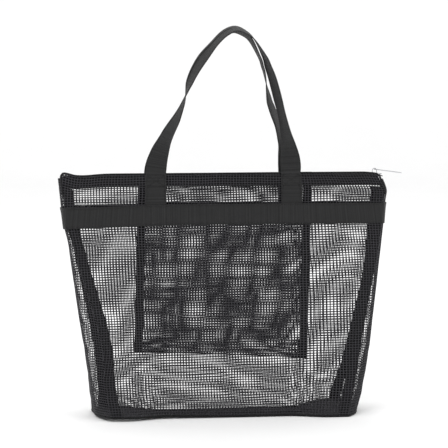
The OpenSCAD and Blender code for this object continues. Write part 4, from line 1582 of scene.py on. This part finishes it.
class TOTE_OT_pocket(bpy.types.Operator):
    """Hangs the mesh pocket with its bindings inside the rear sheet"""

    bl_idname = "tote.pocket"
    bl_label = "Inner Pocket"

    def execute(self, context):
        shape = context.scene.tote_shape
        across, upward = shape.yarn_pitch_across / MM, shape.yarn_pitch_up / MM
        pitch = shape.stitch_pitch / MM
        low_x, high_x = POCKET_LOW[0], POCKET_HIGH[0]
        middle, half = (low_x + high_x) / 2, (high_x - low_x) / 2
        back_y = (POCKET_LOW[1] + POCKET_HIGH[1]) / 2
        foot, mouth = POCKET_LOW[2], MOUTH_HIGH[2]
        top = SLANT * math.cos(LEAN) - 3.0

        def back(x, z, h=0.0):
            x, z, h = np.broadcast_arrays(np.asarray(x, float), z, h)
            return hang_pocket(np.stack([x, back_y - h, z], -1))

        def fore(x, z, h=0.0):
            x, z, h = np.broadcast_arrays(np.asarray(x, float), z, h)
            full = pocket_fullness(np.clip((x - middle) / half, -1, 1), np.clip((z - foot) / (mouth - foot), 0, 1))
            return hang_pocket(np.stack([x, back_y - 1.1 - 8.6 * full - h, z], -1))

        limits = lambda v: (np.full(v.shape, low_x), np.full(v.shape, high_x))
        start, end = (0, back_y * MM, 0.356), (0, back_y * MM, 0.335)
        sheets = (("pocket_back_sheet", back, "pocket_back", foot, top),
                  ("pocket_front_sheet", fore, "pocket_front", foot, mouth))
        for name, place, node_name, low, high in sheets:
            skew = GRAIN_SKEW[node_name]
            over = 6 + math.tan(math.radians(abs(skew))) * (high - low) / 2
            piece = yarn_lattice(name, place, lines(low_x - over, high_x + over, across), lines(low, high, upward),
                                 limits, mesh_finish(), skew, bend=0.5, seed=5)
            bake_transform(piece)
            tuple(start)
            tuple(end)
            sheet_piece(piece, node_name, None)
        tape = tape_finish()
        for hand, sign in (("left", -1), ("right", 1)):
            front_at = lambda s, a, h, sign=sign: fore(middle + sign * (half - 5.1) + a, s, 1.3 + h)
            rear_at = lambda s, a, h, sign=sign: back(middle + sign * (half - 5.1) + a, s, -1.2 + h)
            stations = np.linspace(foot - 0.6, top, 90)

            def joined(s, a, h, front_at=front_at, back=back, sign=sign):
                """Below the mouth the tape lies on the front sheet; above it, on the back one."""
                on_front = front_at(np.minimum(s, mouth), a, h)
                on_front[..., 2] += np.maximum(s - mouth, 0)
                on_back = back(middle + sign * (half - 5.1) + a, s, 1.3 + h)
                share = smooth((s - mouth + 6) / 24)[..., None]
                return on_front * (1 - share) + on_back * share

            fronts = strap(f"pocket_{hand}_front_tape", joined, stations, 12.0, 0.8, tape, across=5)
            rears = strap(f"pocket_{hand}_rear_tape", rear_at, stations, 12.0, 0.8, tape, across=5)
            for piece in (fronts, rears):
                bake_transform(piece)
                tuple(start)
                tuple(end)
            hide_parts(f"pocket_{hand}_binding")
            rows = [seam_row(foot + 2, mouth - 2, inset, pitch) for inset in (-4.6, 4.6)]
            made = stitches(f"pocket_{hand}_stitches", lambda s, a, h, at=joined: at(s, a, 0.45 + h),
                            *together(rows), thread_finish(), 0.3)
            finish_piece(made, "pocket", "binding")
        mouth_at = lambda s, a, h: fore(s, mouth - 6.0 + a, 0.95 - h)
        span = half - 12.5
        rim = strap("pocket_mouth_tape", mouth_at, np.linspace(middle - span, middle + span, 80), 12.0, 0.7,
                    tape, across=5)
        finish_piece(rim, "pocket", "binding", "pocket_mouth_binding")
        foot_at = lambda s, a, h: back(s, foot + 0.4 + h, 0.6 + a)
        hem = strap("pocket_foot_fold", foot_at, np.linspace(low_x, high_x, 90), 3.2, 1.6, tape, across=3)
        finish_piece(hem, "pocket", "binding")
        return {"FINISHED"}


# ---------------------------------------------------------------- add-on


class TOTE_OT_shell(bpy.types.Operator):
    """Shapes the bag's wall and lets it hang between its hem and its base"""

    bl_idname = "tote.shell"
    bl_label = "Settled Shell"

    def execute(self, context):
        make_shell()
        return {"FINISHED"}


PIECES = (TOTE_OT_stage, TOTE_OT_shell, TOTE_OT_panels, TOTE_OT_gussets, TOTE_OT_base, TOTE_OT_tapes, TOTE_OT_band,
          TOTE_OT_handles, TOTE_OT_zip, TOTE_OT_slider, TOTE_OT_pocket)


class TOTE_PT_panel(bpy.types.Panel):
    """Lists the tote's sizes, colours and pieces"""

    bl_idname = "TOTE_PT_panel"
    bl_label = "Mesh Beach Tote"
    bl_space_type = "VIEW_3D"
    bl_region_type = "UI"
    bl_category = "Tote"

    def draw(self, context):
        layout = self.layout
        for group in (context.scene.tote_shape, context.scene.tote_finish):
            column = layout.column(align=True)
            for name in group.__annotations__:
                column.prop(group, name)
        for piece in PIECES:
            layout.operator(piece.bl_idname)


CLASSES = (ToteShape, ToteFinish, *PIECES, TOTE_PT_panel)


def register():
    for made in CLASSES:
        bpy.utils.register_class(made)
    bpy.types.Scene.tote_shape = bpy.props.PointerProperty(type=ToteShape)
    bpy.types.Scene.tote_finish = bpy.props.PointerProperty(type=ToteFinish)


def unregister():
    del bpy.types.Scene.tote_finish
    del bpy.types.Scene.tote_shape
    for made in reversed(CLASSES):
        bpy.utils.unregister_class(made)


def main():
    register()
    for piece in PIECES:
        getattr(bpy.ops.tote, piece.bl_idname.split(".")[1])()


if __name__ == "__main__":
    main()
